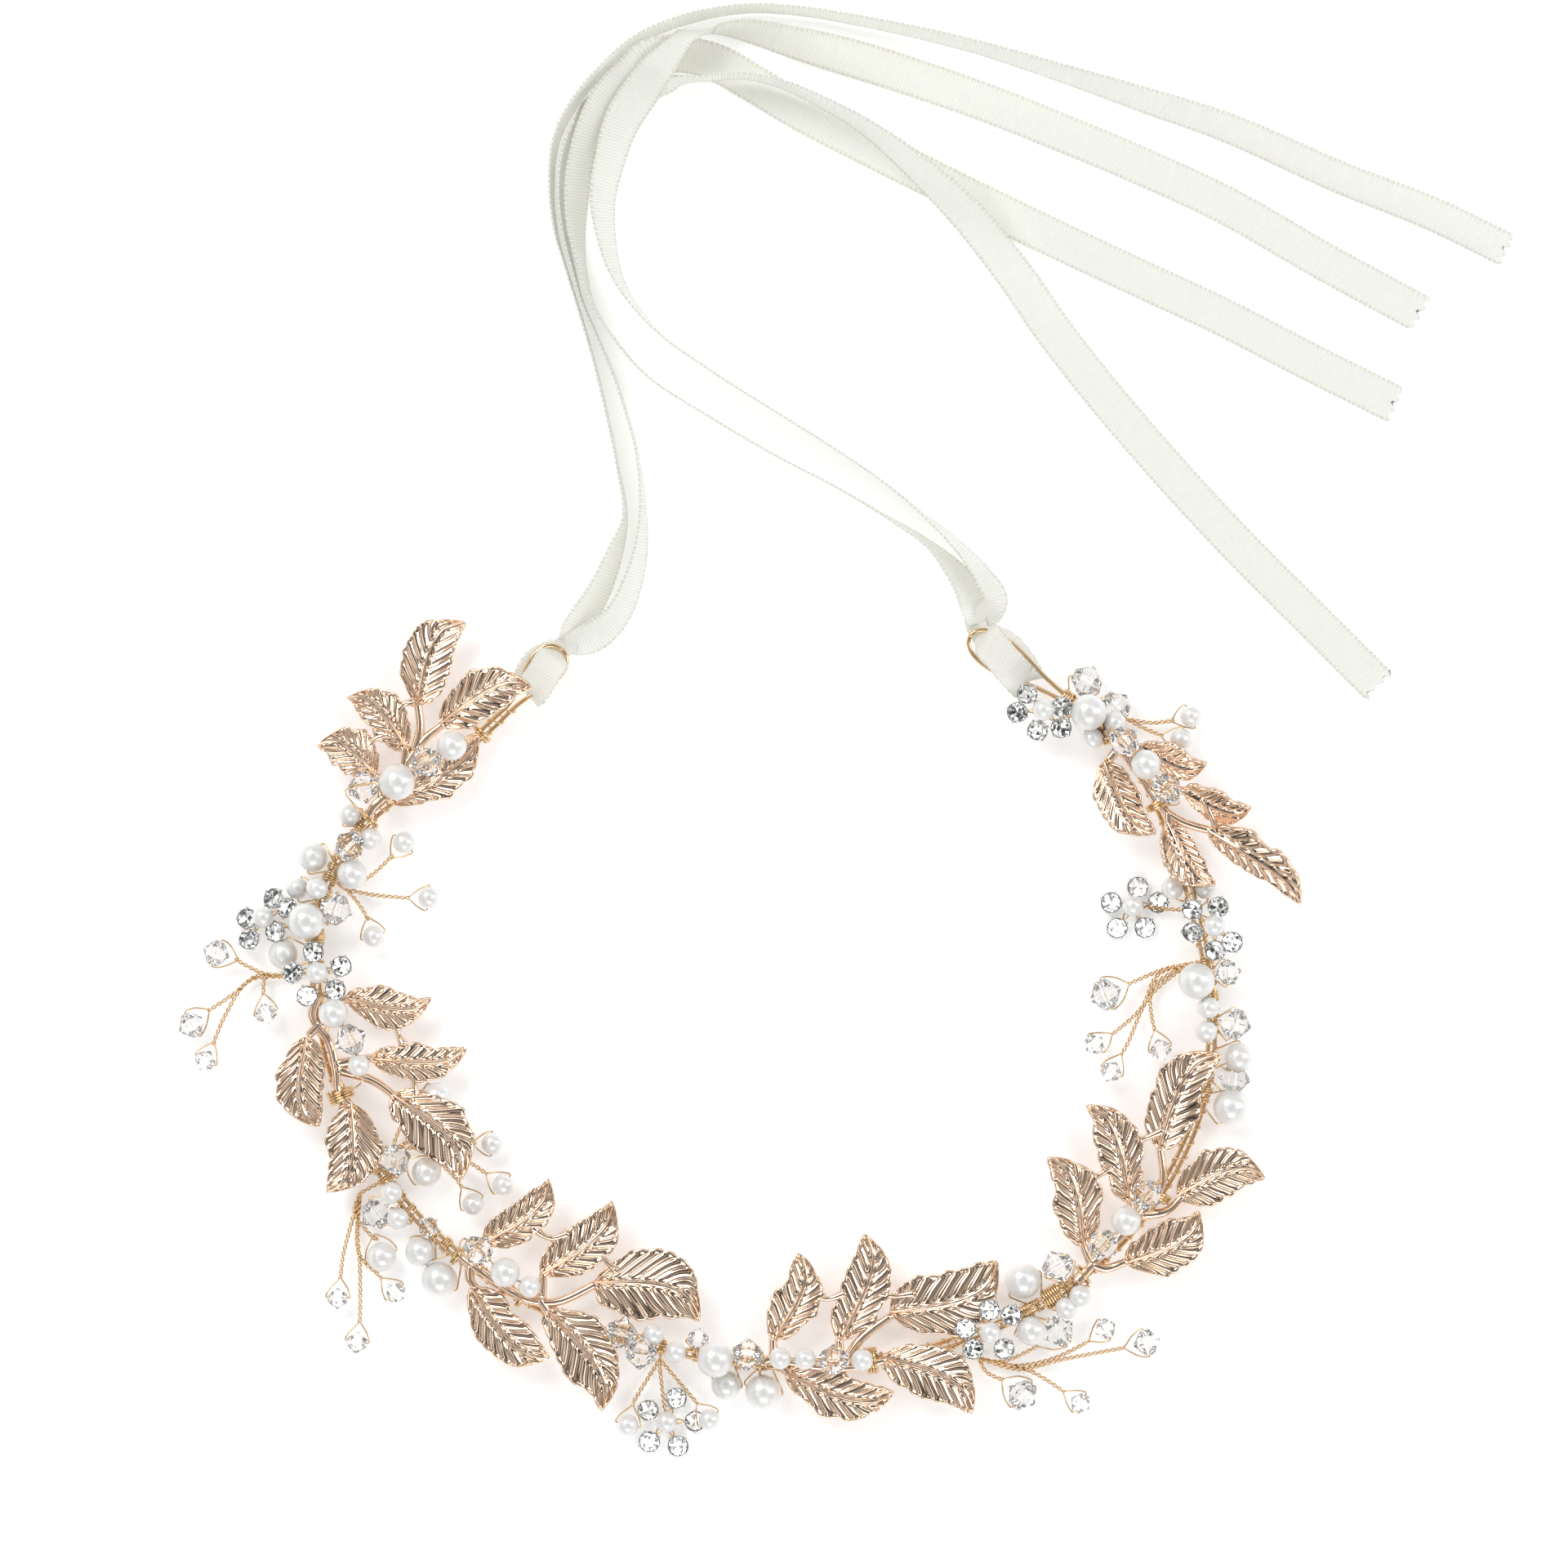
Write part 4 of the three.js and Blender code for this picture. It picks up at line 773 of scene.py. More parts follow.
# a leaf from its base to its tip: fluted between curved side veins, with a raised midrib
# and a rolled, slightly wavy rim; bendSide is the side its tip hooks to
def addLeaf(bm, baseX, baseY, tipX, tipY, width, rise, roll, bendSide):
    settings = leafSettings
    base = Vector((baseX, baseY, settings["height"]))
    tip = Vector((tipX, tipY, settings["height"] + rise))
    along = (tip - base).normalized()
    length = (tip - base).length
    side = Vector((-along.y, along.x, 0)).normalized()
    side = Matrix.Rotation(math.radians(roll), 3, along) @ side
    up = along.cross(side)
    half = width / 2 * settings["fullness"]
    seed = baseX * 0.37 + baseY * 0.11
    veinSlant = settings["slant"] * (width / length) * 2.1
    swell, taper, peak = settings["outline"]
    rows = []
    for i in range(settings["along"] + 1):
        t = i / settings["along"]
        shape = max(t, 0.0) ** swell * max(1 - t, 0.0) ** taper / peak
        row = []
        for j in range(-settings["across"], settings["across"] + 1):
            s = j / settings["across"]
            far = abs(s)
            phase = settings["veins"] * (t * 1.04 - veinSlant * far ** 1.15) + 0.2
            ridge = abs(math.sin(math.pi * phase)) ** 0.75
            lobe = noise.noise(Vector((t * 5.2, 4 if s > 0 else 9, seed * 3)))
            edgeWave = 1 + (settings["scallop"] * (ridge - 0.6) + settings["lobes"] * lobe) * far * far
            reach = max(half * shape * edgeWave, settings["leastReach"])
            y = s * reach
            inner = min(1, max(0, (far * reach - 0.35) / 0.5)) * min(1, max(0, (1 - far) * reach / 0.5))
            fade = min(1, reach / 1.4) * inner
            flute = settings["flute"] * (ridge - 0.62) * fade
            rib = settings["midrib"] * math.exp(-(y / settings["midribWidth"]) ** 2) * (1 - 0.6 * t)
            offGroove = (abs(y) - settings["grooveAt"]) / settings["grooveWidth"]
            groove = -settings["groove"] * math.exp(-offGroove ** 2) * min(1, reach / 1.5)
            rimPlace = (1 - far) * reach / settings["rimWidth"]
            rim = settings["rim"] * math.exp(-(rimPlace - 0.7) ** 2 * 1.6) * min(1, reach / 1.2)
            rim *= 0.7 + 0.5 * ridge
            camber = -settings["camber"] * (y / half) ** 2
            arch = settings["arch"] * math.sin(math.pi * t) ** 0.8
            uneven = settings["uneven"] * noise.noise(Vector((t * 2.2, s * 0.9, seed)))
            flick = settings["flick"] * max(0, (t - 0.78) / 0.22) ** 2
            bend = bendSide * width * (settings["hook"] * (t ** 4 - t) + flick)
            z = flute + rib + groove + rim + camber + arch + uneven
            row.append(base + along * (t * length) + side * (y + bend) + up * z)
        rows.append(row)
    top = [[bm.verts.new(p * mm) for p in row] for row in rows]
    low = [[bm.verts.new((p - up * settings["thickness"]) * mm) for p in row] for row in rows]
    wide = 2 * settings["across"]
    for i in range(settings["along"]):
        for j in range(wide):
            bm.faces.new((top[i][j], top[i + 1][j], top[i + 1][j + 1], top[i][j + 1]))
            bm.faces.new((low[i][j], low[i][j + 1], low[i + 1][j + 1], low[i + 1][j]))
        bm.faces.new((top[i][0], low[i][0], low[i + 1][0], top[i + 1][0]))
        bm.faces.new((top[i][wide], top[i + 1][wide], low[i + 1][wide], low[i][wide]))
    for j in range(wide):
        bm.faces.new((top[0][j], top[0][j + 1], low[0][j + 1], low[0][j]))
        bm.faces.new((top[-1][j], low[-1][j], low[-1][j + 1], top[-1][j + 1]))


stemSettings = {"radius": 0.95, "thin": 0.76, "webRadius": 0.66, "height": 4.3, "webHeight": 4.7}
saddleSettings = {"height": 9.0, "radius": 0.17, "tieRadius": 1.85, "tieHeight": 3.75, "coilRadius": 0.23,
                  "pitch": 0.5, "slack": 0.03, "overhang": 0.1, "endOverhang": 0.6,
                  "shortCoil": (1.85, 1.6), "longCoil": (2.3, 1.95), "longTurns": 3}


def rowDirection(beads, i):
    before, after = beads[max(i - 1, 0)], beads[min(i + 1, len(beads) - 1)]
    return Vector((after[2] - before[2], after[3] - before[3], 0)).normalized()


def makeSpray(name, spray):
    leaves = bmesh.new()
    for leaf in spray["leaves"]:
        addLeaf(leaves, *leaf)
    makePiece(f"leafSpray_{name}", leaves, roseGold, [f"leaf_spray_{name}"])
    stems = bmesh.new()
    start = onBand(spray["ties"][0], 0, stemSettings["height"])
    for i, points in enumerate(spray["stems"]):
        route = [Vector((x, y, stemSettings["height"])) for x, y in points]
        if i == 0:
            route.insert(0, start)
        path = smoothPath(route, 6)
        taper = (stemSettings["thin"] - stemSettings["radius"]) / (len(path) - 1)
        radii = [stemSettings["radius"] + taper * k for k in range(len(path))]
        addTube(stems, path, 0, 10, radii)
    for points in spray["webs"]:
        path = smoothPath([Vector((x, y, stemSettings["webHeight"])) for x, y in points], 6)
        bulge = [stemSettings["webRadius"] * (1.6 - 0.8 * math.sin(math.pi * k / (len(path) - 1)))
                 for k in range(len(path))]
        addTube(stems, path, 0, 8, bulge)
    makePiece(f"leafStems_{name}", stems, roseGold, [f"leaf_spray_{name}"])


def makeSprayTie(name, spray):
    settings = saddleSettings
    bm = bmesh.new()
    for station, turns in zip(spray["ties"], spray["turns"]):
        wide, tall = settings["longCoil" if turns > settings["longTurns"] else "shortCoil"]
        reach = turns * settings["pitch"] / 2
        addCoil(bm, station - reach, station + reach, turns, wide, tall,
                settings["tieHeight"], settings["coilRadius"], settings["slack"])
    first, last = (onBand(station, 0, settings["tieHeight"] + settings["tieRadius"])
                   for station in spray["ties"])
    path, beads = [first], spray["beads"]
    for i, (kind, size, x, y) in enumerate(beads):
        way, half = rowDirection(beads, i), beadHalf(kind, size)
        before = half + settings["endOverhang" if i == 0 else "overhang"]
        after = half + settings["endOverhang" if i == len(beads) - 1 else "overhang"]
        middle = Vector((x, y, settings["height"]))
        path += [middle - way * before, middle + way * after]
    path.append(last)
    addTube(bm, smoothPath(path, 4), settings["radius"], 6)
    makePiece(f"sprayTie_{name}", bm, goldWire, [f"spray_tie_{name}"])


for name, spray in sprays.items():
    makeSpray(name, spray)
    makeSprayTie(name, spray)
    for i, (kind, size, x, y) in enumerate(spray["beads"]):
        bm = bmesh.new()
        way = rowDirection(spray["beads"], i)
        addBead({kind: bm}, kind, size, (x, y, saddleSettings["height"]), way)
        key = f"{name}_{i + 1}"
        makePiece(f"sprayBead_{key}", bm, finishes[kind], [f"spray_bead_{key}"], body=f"bead_{key}",
                  smooth=kind == "pearl")
print("leaf sprays made")

# bead strands along the core
strandSettings = {"wireRadius": 0.16, "clearance": 0.3, "lean": 0.5, "besideCore": 2}
strands = {
    "left_upper": [["pearl", "small", 39.9, -3.1], ["pearl", "small", 40.6, 2.6],
                   ["crystal", "large", 44, 0.5],
                   ["pearl", "medium", 49, -4.4], ["pearl", "medium", 48.6, 3.4],
                   ["pearl", "small", 53.5, -1.4],
                   ["pearl", "small", 54.5, -5], ["crystal", "large", 56.3, 3],
                   ["pearl", "large", 59.4, -2],
                   ["pearl", "medium", 65.2, -6]],
    "left_lower": [["crystal", "large", 106.5, 3.5], ["pearl", "small", 111, -0.5],
                   ["crystal", "large", 112.3, -5.2],
                   ["pearl", "small", 115.3, -2.6], ["crystal", "small", 120, 0.5],
                   ["pearl", "medium", 122, -4],
                   ["pearl", "large", 127.6, -5.6]],
    "front": [["crystal", "large", 160.6, 1], ["pearl", "small", 166.4, 2.2],
              ["crystal", "large", 165, -1.6],
              ["pearl", "small", 171, 0], ["crystal", "small", 174.6, 3], ["pearl", "large", 178.3, 0],
              ["pearl", "medium", 180.8, -4.6], ["crystal", "large", 184, 1.6],
              ["pearl", "large", 187.4, -5.2]],
    "front_right": [["pearl", "large", 238.5, 5.2], ["pearl", "medium", 235.4, -3.4],
                    ["pearl", "small", 242.6, -3], ["pearl", "small", 245.8, -2.6],
                    ["crystal", "large", 245.6, 4.1]],
    "right": [["pearl", "large", 287.5, -5.4], ["crystal", "large", 292.2, -4.8],
              ["pearl", "medium", 295.8, -5.2],
              ["pearl", "small", 300, 1.2], ["crystal", "large", 301.4, -4],
              ["pearl", "small", 304.4, 0.8],
              ["crystal", "medium", 310.2, -3.6], ["pearl", "large", 309.6, 2.4]],
    "right_end": [["pearl", "small", 358.8, -2.1], ["pearl", "small", 359.8, 2.8],
                  ["pearl", "large", 363.6, -0.3], ["crystal", "large", 360.6, -4.5],
                  ["crystal", "large", 367, -4.8]],
}
strandEnds = {"left_upper": (46.6, 62.4), "left_lower": (110.4, 124.6), "front": (163, 182.5),
              "front_right": (236.6, 244.6), "right": (289.4, 306.6), "right_end": (359.4, 363.4)}
lashings = {"front_right": 241.6}


# a bead over the core stands on it, and one beside it lies on the table
def beadHeight(side, radius):
    out = max(0, abs(side) - bandSettings["halfGap"])
    reach = radius + 0.45 + strandSettings["clearance"]
    if math.hypot(out, radius - bandSettings["height"]) >= reach:
        return radius
    return bandSettings["height"] + math.sqrt(reach * reach - out * out)


# the bead's wire leaves both ends of its hole and comes down to the core
def makeStrand(name, beads):
    settings = strandSettings
    meshes = newMeshes("pearl", "crystal", "wire")
    for kind, size, station, side in beads:
        at = onBand(station, side, beadHeight(side, beadRadius[kind][size]))
        lean = settings["lean"] * noise.noise(Vector((station * 1.7, side, 3)))
        out = onBand(station, side + 1, 0) - onBand(station, side, 0)
        way = (bandWay(station) + out * lean + Vector((0, 0, 0.2 * lean))).normalized()
        half = addBead(meshes, kind, size, at, way)
        hand = 1 if side > 0 else -1
        footSide = 1.15 * hand * min(1, abs(side))
        footHeight = bandSettings["height"] + (0.6 if abs(side) < settings["besideCore"] else 0.2)
        for end in (-1, 1):
            leave = at + way * end * (half - 0.4)
            elbow = at + way * end * (half + 0.3) + Vector((0, 0, -0.3)) - out * hand * 0.7
            foot = onBand(station + end * (half * 0.45), footSide, footHeight)
            middle = elbow.lerp(foot, 0.5) + way * end * 0.12
            thread = smoothPath([leave, elbow, middle, foot], 5)
            addTube(meshes["wire"], thread, settings["wireRadius"], 6)
        addWinding(meshes["wire"], station, "underBead")
    for station in strandEnds[name]:
        addWinding(meshes["wire"], station, "strandEnd")
    if name in lashings:
        addWinding(meshes["wire"], lashings[name], "lashing")
    makePieces(f"strand_{name}", meshes, [f"bead_strand_{name}"])


for name, beads in strands.items():
    makeStrand(name, beads)
print("bead strands made")

# flowers: five foiled stones in claw cups, wired round a pearl
flowerSettings = {"cupRadius": 2.0, "cupHeight": 1.35, "stoneRadius": 1.82, "table": 0.5, "crown": 0.45,
                  "claws": 4, "wireRadius": 0.2, "facets": 8, "segments": 28, "pearlLift": 1.3,
                  "cup": [(0.82, 0), (0.92, 0.5), (0.96, 0.8), (0.95, 0.86), (0.91, 0.84), (0.9, 0.6)],
                  "cupFloor": [(1.5, 0.12), (0.15, 0.12), (0.15, 0)],
                  "claw": [(0.96, 0.5), (0.97, 0.98), (0.78, 1.13)],
                  "clawRadii": [0.26, 0.26, 0.25, 0.24, 0.23, 0.21, 0.18, 0.15, 0.1],
                  "sway": {"raised": 0.34, "onTable": 0.04}, "onTable": 2}
flowers = {
    "left_outer": {"at": (-86, 22, 2.2), "tilt": (-8, -14), "wrapAt": 61.5, "side": -1,
                   "stones": [[1.9, 3.3], [4.4, 1.6], [-2.9, -0.3], [-2.5, -4.1], [2.3, -2.6]]},
    "left": {"at": (-76, 12, 6.6), "tilt": (0, 0), "wrapAt": 68.5, "side": 1,
             "stones": [[-0.7, 3.8], [4.3, 1.2], [-4.4, 0], [-1.8, -4.2], [3.3, -3.1]]},
    "front_right": {"at": (45.5, -53, 5.6), "tilt": (0, 0), "wrapAt": 228.5, "side": 1,
                    "stones": [[-0.1, 4.1], [3.8, 3.2], [-4.4, 0.7], [-3.1, -3], [2.6, -3]]},
    "right_inner": {"at": (71.5, 24, 0.75), "tilt": (0, 0), "wrapAt": 323, "side": 1,
                    "beside": [(327.2, 2.9, 3.7), (325.6, -2.9, 3.8)],
                    "stones": [[0.9, 3.4], [-3.9, 0.6], [4.6, 0.6], [-2.8, -4], [2.2, -3.9]]},
    "right": {"at": (86, 20.5, 6.2), "tilt": (12, -14), "wrapAt": 318, "side": -1,
              "stones": [[-3.9, 3], [0.7, 3.4], [-3.8, -1], [3.3, -3], [0.3, -4.4]]},
    "right_end": {"at": (55.1, 59.5, 6.6), "tilt": (14, -8), "wrapAt": 366, "side": 1,
                  "stones": [[-2.9, 3], [-4.6, -0.4], [3.4, 0.6], [-0.9, -3.6], [3.3, -3.2]]},
}


def addStone(meshes, at, up, spin):
    settings = flowerSettings
    radius, wall, height = settings["stoneRadius"], settings["cupRadius"], settings["cupHeight"]
    base = Vector(at) - up * (height / 2)
    seat = base + up * (height * 0.78)
    crown = [(radius * settings["table"], settings["crown"], 0),
             (radius * 0.84, settings["crown"] * 0.58, 1),
             (radius, 0.06, 0), (radius, -0.2, 0), (radius * 0.5, -0.7, 0)]
    addFacetRings(meshes["stone"], crown, settings["facets"], seat, up, spin)
    addFoil(meshes["foil"], seat, up, spin)
    cup = [(wall * across, height * rise) for across, rise in settings["cup"]]
    addLathe(meshes["cup"], cup + settings["cupFloor"], base, up, settings["segments"])
    turn = turnTo(up)
    for k in range(settings["claws"]):
        angle = 2 * math.pi * (k + 0.5) / settings["claws"] + spin
        out = turn @ Vector((math.cos(angle), math.sin(angle), 0))
        path = [base + out * wall * across + up * height * rise for across, rise in settings["claw"]]
        addTube(meshes["cup"], smoothPath(path, 4), 0, 6, settings["clawRadii"])


# the foil under a stone, folded into a star so neighbouring facets catch different light
def addFoil(bm, seat, up, spin):
    turn = turnTo(up)
    radius = flowerSettings["stoneRadius"]

    def corner(reach, part, height):
        return addCorner(bm, turn, seat, reach, 2 * math.pi * part + spin, height)

    middle = corner(0, 0, -0.3)
    under = corner(0, 0, -0.62)
    inner = [corner(radius * 0.52, k / 8, -0.26 if k % 2 else -0.1) for k in range(8)]
    outer = [corner(radius * 0.97, k / 16, -0.2 if k % 2 else -0.05) for k in range(16)]
    for k in range(8):
        n = (k + 1) % 8
        bm.faces.new((middle, inner[k], inner[n]))
        bm.faces.new((inner[k], outer[2 * k], outer[2 * k + 1]))
        bm.faces.new((inner[k], outer[2 * k + 1], inner[n]))
        bm.faces.new((inner[n], outer[2 * k + 1], outer[(2 * k + 2) % 16]))
    for k in range(16):
        bm.faces.new((under, outer[(k + 1) % 16], outer[k]))


def makeFlower(name, flower, nodes):
    settings = flowerSettings
    meshes = newMeshes("cup", "stone", "foil", "pearl", "wire")
    lean = Euler((*map(math.radians, flower["tilt"]), 0)).to_matrix()
    up = lean @ Vector((0, 0, 1))
    at = Vector(flower["at"])
    sway = settings["sway"]["raised" if at.z > settings["onTable"] else "onTable"]
    addBead(meshes, "pearl", "small", at + Vector((0, 0, settings["pearlLift"])), (1, 0.4, 0))
    for i, (dx, dy) in enumerate(flower["stones"]):
        place = at + Vector((dx, dy, -(dx * up.x + dy * up.y) / up.z))
        loose = Vector((noise.noise(place * 0.9), noise.noise(place * 0.9 + Vector((7, 3, 1))), 0))
        addStone(meshes, place, (up + loose * sway).normalized(), 0.4 * i)
        spoke = (place - at).normalized()
        across = up.cross(spoke)
        for apart in (-0.28, 0.28):
            path = [at + across * apart, at + spoke * 1.2 + across * apart * 2, place - spoke * 1.6]
            addTube(meshes["wire"], smoothPath(path, 4), settings["wireRadius"] * 0.8, 6)
    # pearls on the wire where it reaches the core
    for station, side, height in flower.get("beside", []):
        addBead(meshes, "pearl", "small", onBand(station, side, height), bandWay(station))
        thread = [onBand(station + along, side * across, height - drop)
                  for along, across, drop in ((-3, 0.4, 0.3), (-1.9, 1, 0), (1.9, 1, 0), (3, 0.4, 0.3))]
        addTube(meshes["wire"], smoothPath(thread, 5), settings["wireRadius"], 6)
    out = flower["side"] * 1.6
    stem = [onBand(flower["wrapAt"], out, 3), onBand(flower["wrapAt"], out * 1.5, 2.4), at]
    addTwist(meshes["wire"], stem)
    addWinding(meshes["wire"], flower["wrapAt"], "flower")
    makePieces(f"flower_{name}", meshes, nodes)


# twigs: two wires twisted together, parting to hold a bead at each tip
twistSettings = {"strand": 0.16, "offset": 0.25, "pitch": 2.2, "step": 0.16, "split": 1.7}


def addTwist(bm, points, phase=0.0):
    settings = twistSettings
    path = evenPath(smoothPath(points, 8), settings["step"])
    frames = pathFrames(path)
    for strand in (0, 1):
        line = []
        for i, (point, along, side, up) in enumerate(frames):
            angle = 2 * math.pi * i * settings["step"] / settings["pitch"] + strand * math.pi + phase
            line.append(point + (side * math.cos(angle) + up * math.sin(angle)) * settings["offset"])
        addTube(bm, line, settings["strand"], 5)


twigs = {
    "left_inner": {"wrapAt": 51, "root": (-71, 27), "branches": [
        [[-66.5, 29.5], [-62.5, 33.2], ["pearl", "small", -60.5, 35.5]],
        [[-66, 26], [-60, 25.5], ["pearl", "small", -56, 25.5]],
        [[-68.5, 24], [-67, 21.5], ["pearl", "small", -66, 18.5]]]},
    "left_outer": {"wrapAt": 66.8, "root": (-80.5, 11.2), "branches": [
        [[-86, 11.8], [-91, 14.4], ["crystal", "medium", -94.5, 15.5]],
        [[-87, 11.4], [-91.5, 8], [-96, 5], ["crystal", "medium", -99, 2.5]],
        [[-88.5, 10.5], [-93, 4], [-95, -1], ["crystal", "small", -96.5, -4]],
        [[-85.5, 11.2], [-86, 8], ["crystal", "small", -85.5, 4.5]]]},
    "left_lower": {"wrapAt": 108.5, "root": (-68.5, -28), "branches": [
        [[-69.5, -31.5], [-65.5, -36.5], ["pearl", "medium", -64.5, -39.5]],
        [[-69.5, -31.5], [-71.5, -39], [-72, -43], ["crystal", "small", -72.5, -47]],
        [[-69, -34], [-68.5, -42], [-68.5, -51], ["crystal", "small", -69, -55]],
        [[-68.7, -39], [-65.5, -42.5], ["crystal", "small", -62, -46]]]},
    "under_leaf": {"wrapAt": 103.4, "root": (-63, -20.5), "branches": [
        [[-58, -18], [-53, -18], [-47.5, -19], ["pearl", "small", -44.5, -19]],
        [[-58, -20], [-51, -25.5], ["pearl", "small", -48, -30]],
        [[-56, -17.5], [-48.5, -22.5], ["pearl", "small", -42.5, -26.5]],
        [[-60.5, -15], ["pearl", "medium", -54.6, -10.6]],
        [[-61, -21.5], ["pearl", "medium", -56.4, -24.2]]]},
    "front_lower": {"wrapAt": 224, "root": (43.5, -58), "branches": [
        [[48, -58.5], [54, -55.8], ["crystal", "large", 58, -53]],
        [[50, -59.3], [57, -58], [63.5, -54.8], ["crystal", "small", 66.5, -52.5]],
        [[51, -60], [58, -58.3], [70, -56], ["crystal", "medium", 74, -55]],
        [[53, -60.3], [59, -64], ["crystal", "small", 62, -66]],
        [[45, -60.5], [48, -61.8], ["crystal", "large", 51.5, -64.5]]]},
    "right_inner": {"wrapAt": 312.6, "root": (81.5, 13.5), "branches": [
        [[77, 12.5], [71, 10], ["crystal", "large", 66.5, 8]],
        [[75, 9], [75.3, 2], ["crystal", "small", 76.5, -2]],
        [[76, 11.5], [73, 5.5], [68, 1], ["crystal", "small", 64.5, -1]],
        [[74.5, 7.5], [70.5, -1], ["crystal", "small", 67.5, -6]]]},
    "right_end": {"wrapAt": 361, "root": (70.6, 57.8), "branches": [
        [[75, 57.2], [79, 57.6], ["pearl", "small", 82, 58.4]],
        [[74, 56], [77, 54.8], ["pearl", "small", 80.2, 54.2]]]},
}
twigHeights = {"wrap": 1.4, "root": 1.3, "tip": 3.0}


def addBranch(meshes, start, points, tip, phase=0.0):
    kind, size, x, y = tip
    at = Vector((x, y, twigHeights["tip"]))
    rise = (twigHeights["tip"] - start.z) / (len(points) + 1)
    middle = [Vector((px, py, start.z + rise * (i + 1))) for i, (px, py) in enumerate(points)]
    last = middle[-1] if middle else start
    toward = (at - last).normalized()
    across = Vector((-toward.y, toward.x, 0)).normalized()
    across = (across + toward * 0.35 * noise.noise(Vector((x, y, 1)))).normalized()
    half = addBead(meshes, kind, size, at, across)
    reach = beadRadius[kind][size]
    split = at - toward * (reach + twistSettings["split"])
    addTwist(meshes["wire"], [start, *middle, split], phase)
    for end in (-1, 1):
        hole = at + across * end * (half - 0.3)
        elbow = at + across * end * (half + 0.3) - toward * 0.25
        shoulder = at + across * end * (half * 0.72 + 0.35) - toward * (reach * 0.82)
        legs = smoothPath([hole, elbow, shoulder, split + across * end * 0.1], 6)
        addTube(meshes["wire"], legs, twistSettings["strand"] * 0.95, 6)


def makeTwig(name, twig):
    meshes = newMeshes("pearl", "crystal", "wire")
    root = Vector((*twig["root"], twigHeights["root"]))
    under = onBand(twig["wrapAt"], 0, twigHeights["wrap"])
    addTwist(meshes["wire"], [under, under.lerp(root, 0.5), root])
    for i, branch in enumerate(twig["branches"]):
        addBranch(meshes, root, branch[:-1], branch[-1], phase=i * 1.3)
    addWinding(meshes["wire"], twig["wrapAt"], "twig")
    makePieces(f"twig_{name}", meshes, [f"twig_{name}"])


for name, flower in flowers.items():
    makeFlower(name, flower, [f"flower_{name}"])
frontFlower = {"at": (-13, -69.5, 0.75), "tilt": (0, 0), "wrapAt": 168.5, "side": -1,
               "stones": [[1.8, 4.3], [-3.3, 2.1], [5.2, 0.1], [-3.1, -3.6], [2.1, -4.4]]}
makeFlower("front", frontFlower, ["flower_front_with_pearls"])
frontStems = newMeshes("pearl", "crystal", "wire")
frontRoot = onBand(frontFlower["wrapAt"], -2.2, twigHeights["root"])
addBranch(frontStems, frontRoot, [[-19, -66]], ["pearl", "small", -20, -70])
addBranch(frontStems, frontRoot, [[-7.5, -66]], ["pearl", "small", -5.2, -69])
makePieces("frontStems", frontStems, ["flower_front_with_pearls"])
print("flowers made")

for name, twig in twigs.items():
    makeTwig(name, twig)
endTie = bmesh.new()
addWinding(endTie, bandSettings["end"] - 0.8, "endTie")
makePiece("endTieRight", endTie, goldWire, ["end_tie_right"])
print("twigs made")

# ribbon hitches: the ribbon doubled through each end loop and over its tip
hitchWidth = 6.8
hitches = {
    "left": {"tip": (-32, 70.5), "outward": 46, "inward": 226, "lean": 1.0, "inside": 9.4},
    "right": {"tip": (43.4, 73.6), "outward": 100, "inward": -41, "lean": -1.0, "inside": 12.0},
}


def makeHitch(name, hitch):
    outward, inward = (Vector((math.cos(angle), math.sin(angle), 0))
                       for angle in (math.radians(hitch["outward"]), math.radians(hitch["inward"])))
    tip = Vector((*hitch["tip"], 0))
    sideways = Vector((-inward.y, inward.x, 0)) * hitch["lean"]
    inside = hitch["inside"]
    spine = [(outward * 2.4, 2.2, 0.62), (outward * 0.6, 2.1, 0.54), (inward * 0.9, 2.7, 0.6),
             (inward * 2.6 + sideways * 0.2, 4.3, 0.94), (inward * inside * 0.7 + sideways, 4.4, 0.92),
             (inward * inside + sideways * 1.3, 3.6, 0.95),
             (inward * (inside + 0.7) + sideways * 0.9, 2.7, 0.9),
             (inward * inside * 0.9 - sideways * 0.2, 2.0, 0.92),
             (inward * inside * 0.5 - sideways * 1.2, 1.8, 0.9),
             (inward * 1.2 - sideways * 0.8, 1.4, 0.66), (outward * 0.6, 1.4, 0.52),
             (outward * 2.6, 1.6, 0.6)]
    points = smoothPath([tip + place + Vector((0, 0, z)) for place, z, size in spine], 8)
    sizes = smoothPath([(size, 0, 0) for place, z, size in spine], 8)
    rings = []
    flat = Vector((-inward.y, inward.x, 0))
    for i, point in enumerate(points):
        heading = (points[min(i + 1, len(points) - 1)] - points[max(i - 1, 0)]).normalized()
        across = (flat + Vector((0, 0, 0.28 * math.sin(i * 0.09)))).normalized()
        across = (across - heading * across.dot(heading)).normalized()
        rings.append((point, heading, across, sizes[i].x))
    bm = bmesh.new()
    addBand(bm, rings, hitchWidth, ribbonSettings["thickness"])
    makePiece(f"ribbonHitch_{name}", bm, ivorySatin, [f"ribbon_hitch_{name}"])


for name, hitch in hitches.items():
    makeHitch(name, hitch)
print("ribbon hitches made")

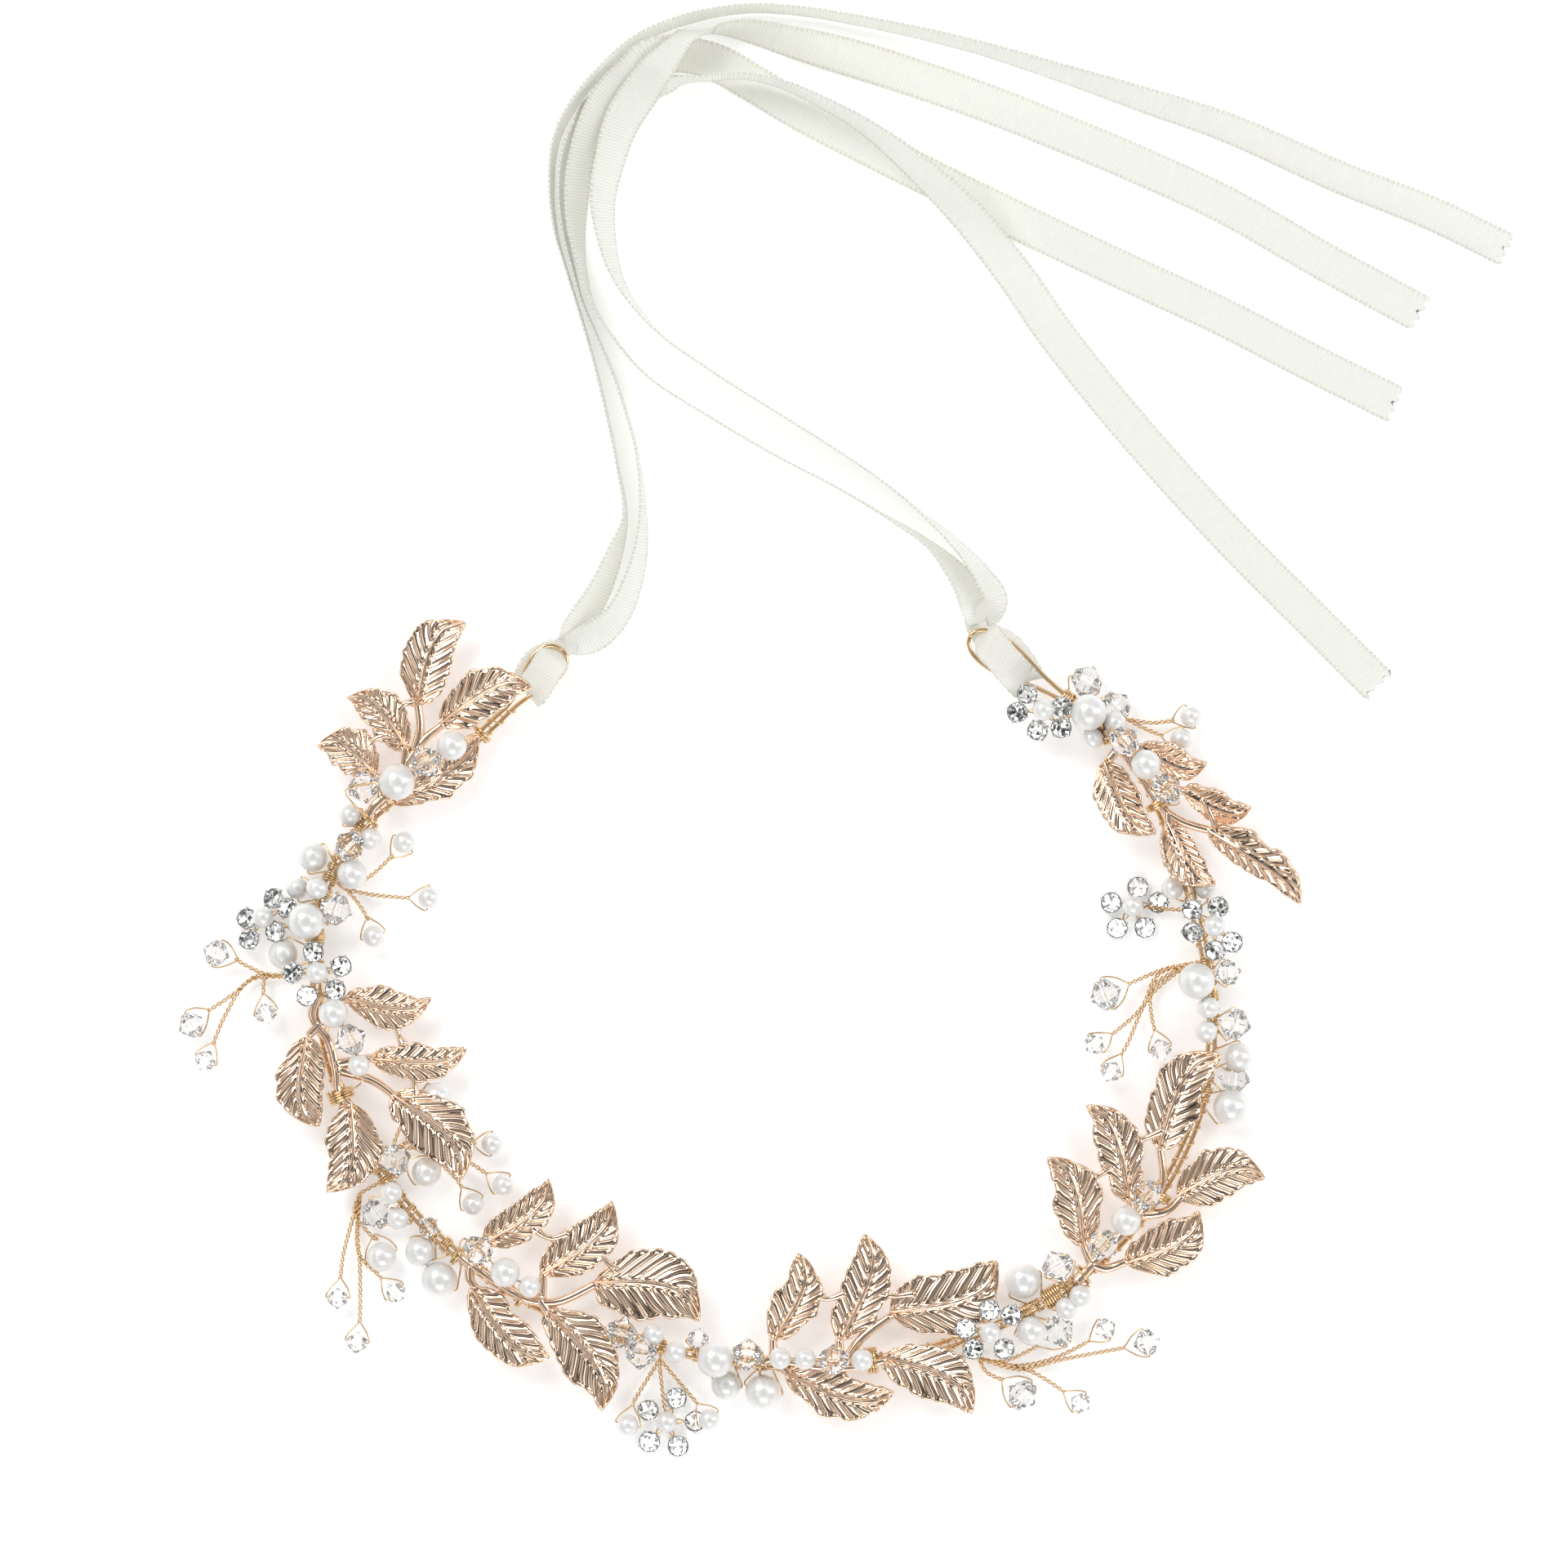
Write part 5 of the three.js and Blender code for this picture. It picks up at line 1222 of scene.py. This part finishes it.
# floor and light
stageSettings = {"floor": 6.0, "floorColour": (0.93, 0.93, 0.93), "floorShade": (0.92, 0.92, 0.92),
                 "floorGlow": 0.34, "world": 0.74,
                 "bands": [(0.0, 0.8), (0.2, 1.2), (0.34, 0.8), (0.45, 0.08), (0.62, 0.1), (0.68, 1.7),
                           (0.8, 2.1), (0.85, 1.4), (0.885, 0.1), (0.94, 0.08), (0.965, 0.42),
                           (1.0, 0.5)]}
floorMesh = bpy.data.meshes.new("floor")
floorHalf = stageSettings["floor"] / 2
floorCorners = [(floorHalf * x, floorHalf * y, 0) for x, y in ((-1, -1), (1, -1), (1, 1), (-1, 1))]
floorMesh.from_pydata(floorCorners, [], [(0, 1, 2, 3)])
floor = bpy.data.objects.new("floor", floorMesh)
scene.collection.objects.link(floor)
floorMaterial, floorTree, floorShader = newMaterial("whiteTable")
floorTone = placeGroup(floorTree, mottle, {"Scale": 3.0, "Fine Scale": 40.0})
floorColour = mixColour(floorTree, floorTone.outputs["Mask"], stageSettings["floorShade"],
                        stageSettings["floorColour"])
setInputs(floorTree, floorShader, {
    "Base Color": floorColour, "Roughness": 0.6, "Emission Color": floorColour,
    "Emission Strength": stageSettings["floorGlow"]})
floorMesh.materials.append(floorMaterial)
floor.location.z = -0.0001

world = bpy.data.worlds.new("studio")
scene.world = world
world.use_nodes = True
sky = world.node_tree
direction = sky.nodes.new("ShaderNodeTexCoord").outputs["Generated"]
rise = addNode(sky, "ShaderNodeSeparateXYZ", Vector=direction).outputs["Z"]
bands = addNode(sky, "ShaderNodeValToRGB", Fac=rise)
ramp = bands.color_ramp
for place, strength in stageSettings["bands"][1:-1]:
    ramp.elements.new(place)
for element, (place, strength) in zip(ramp.elements, stageSettings["bands"]):
    element.position = place
    element.color = (strength, strength, strength, 1)
patches = addNode(sky, "ShaderNodeTexNoise", {"Scale": 1.9, "Detail": 1.0}, Vector=direction)
unevenSky = addNode(sky, "ShaderNodeMapRange", {"From Min": 0.35, "From Max": 0.65, "To Min": 0.35,
                                                "To Max": 1.65}, Value=patches.outputs["Fac"])
skyLight = addNode(sky, "ShaderNodeVectorMath", {"operation": "SCALE"})
sky.links.new(bands.outputs["Color"], skyLight.inputs[0])
sky.links.new(unevenSky.outputs[0], skyLight.inputs["Scale"])
sky.links.new(skyLight.outputs[0], sky.nodes["Background"].inputs["Color"])
sky.nodes["Background"].inputs["Strength"].default_value = stageSettings["world"]

softboxes = [
    {"name": "keyBox", "from": (-0.7, 0.9, 1.1), "size": (0.7, 0.7), "power": 7.5},
    {"name": "fillBox", "from": (1.1, 0.3, 0.9), "size": (0.5, 0.9), "power": 4.5},
    {"name": "frontBox", "from": (0.1, -1.2, 0.9), "size": (1.1, 0.4), "power": 4.5},
]
for box in softboxes:
    light = bpy.data.lights.new(box["name"], "AREA")
    light.shape = "RECTANGLE"
    light.size, light.size_y = box["size"]
    light.energy = box["power"]
    lamp = bpy.data.objects.new(box["name"], light)
    lamp.location = box["from"]
    lamp.rotation_euler = (Vector((0.01, 0.04, 0)) - lamp.location).to_track_quat("-Z", "Y").to_euler()
    scene.collection.objects.link(lamp)
scene.view_settings.view_transform = "Standard"

print("finished making")
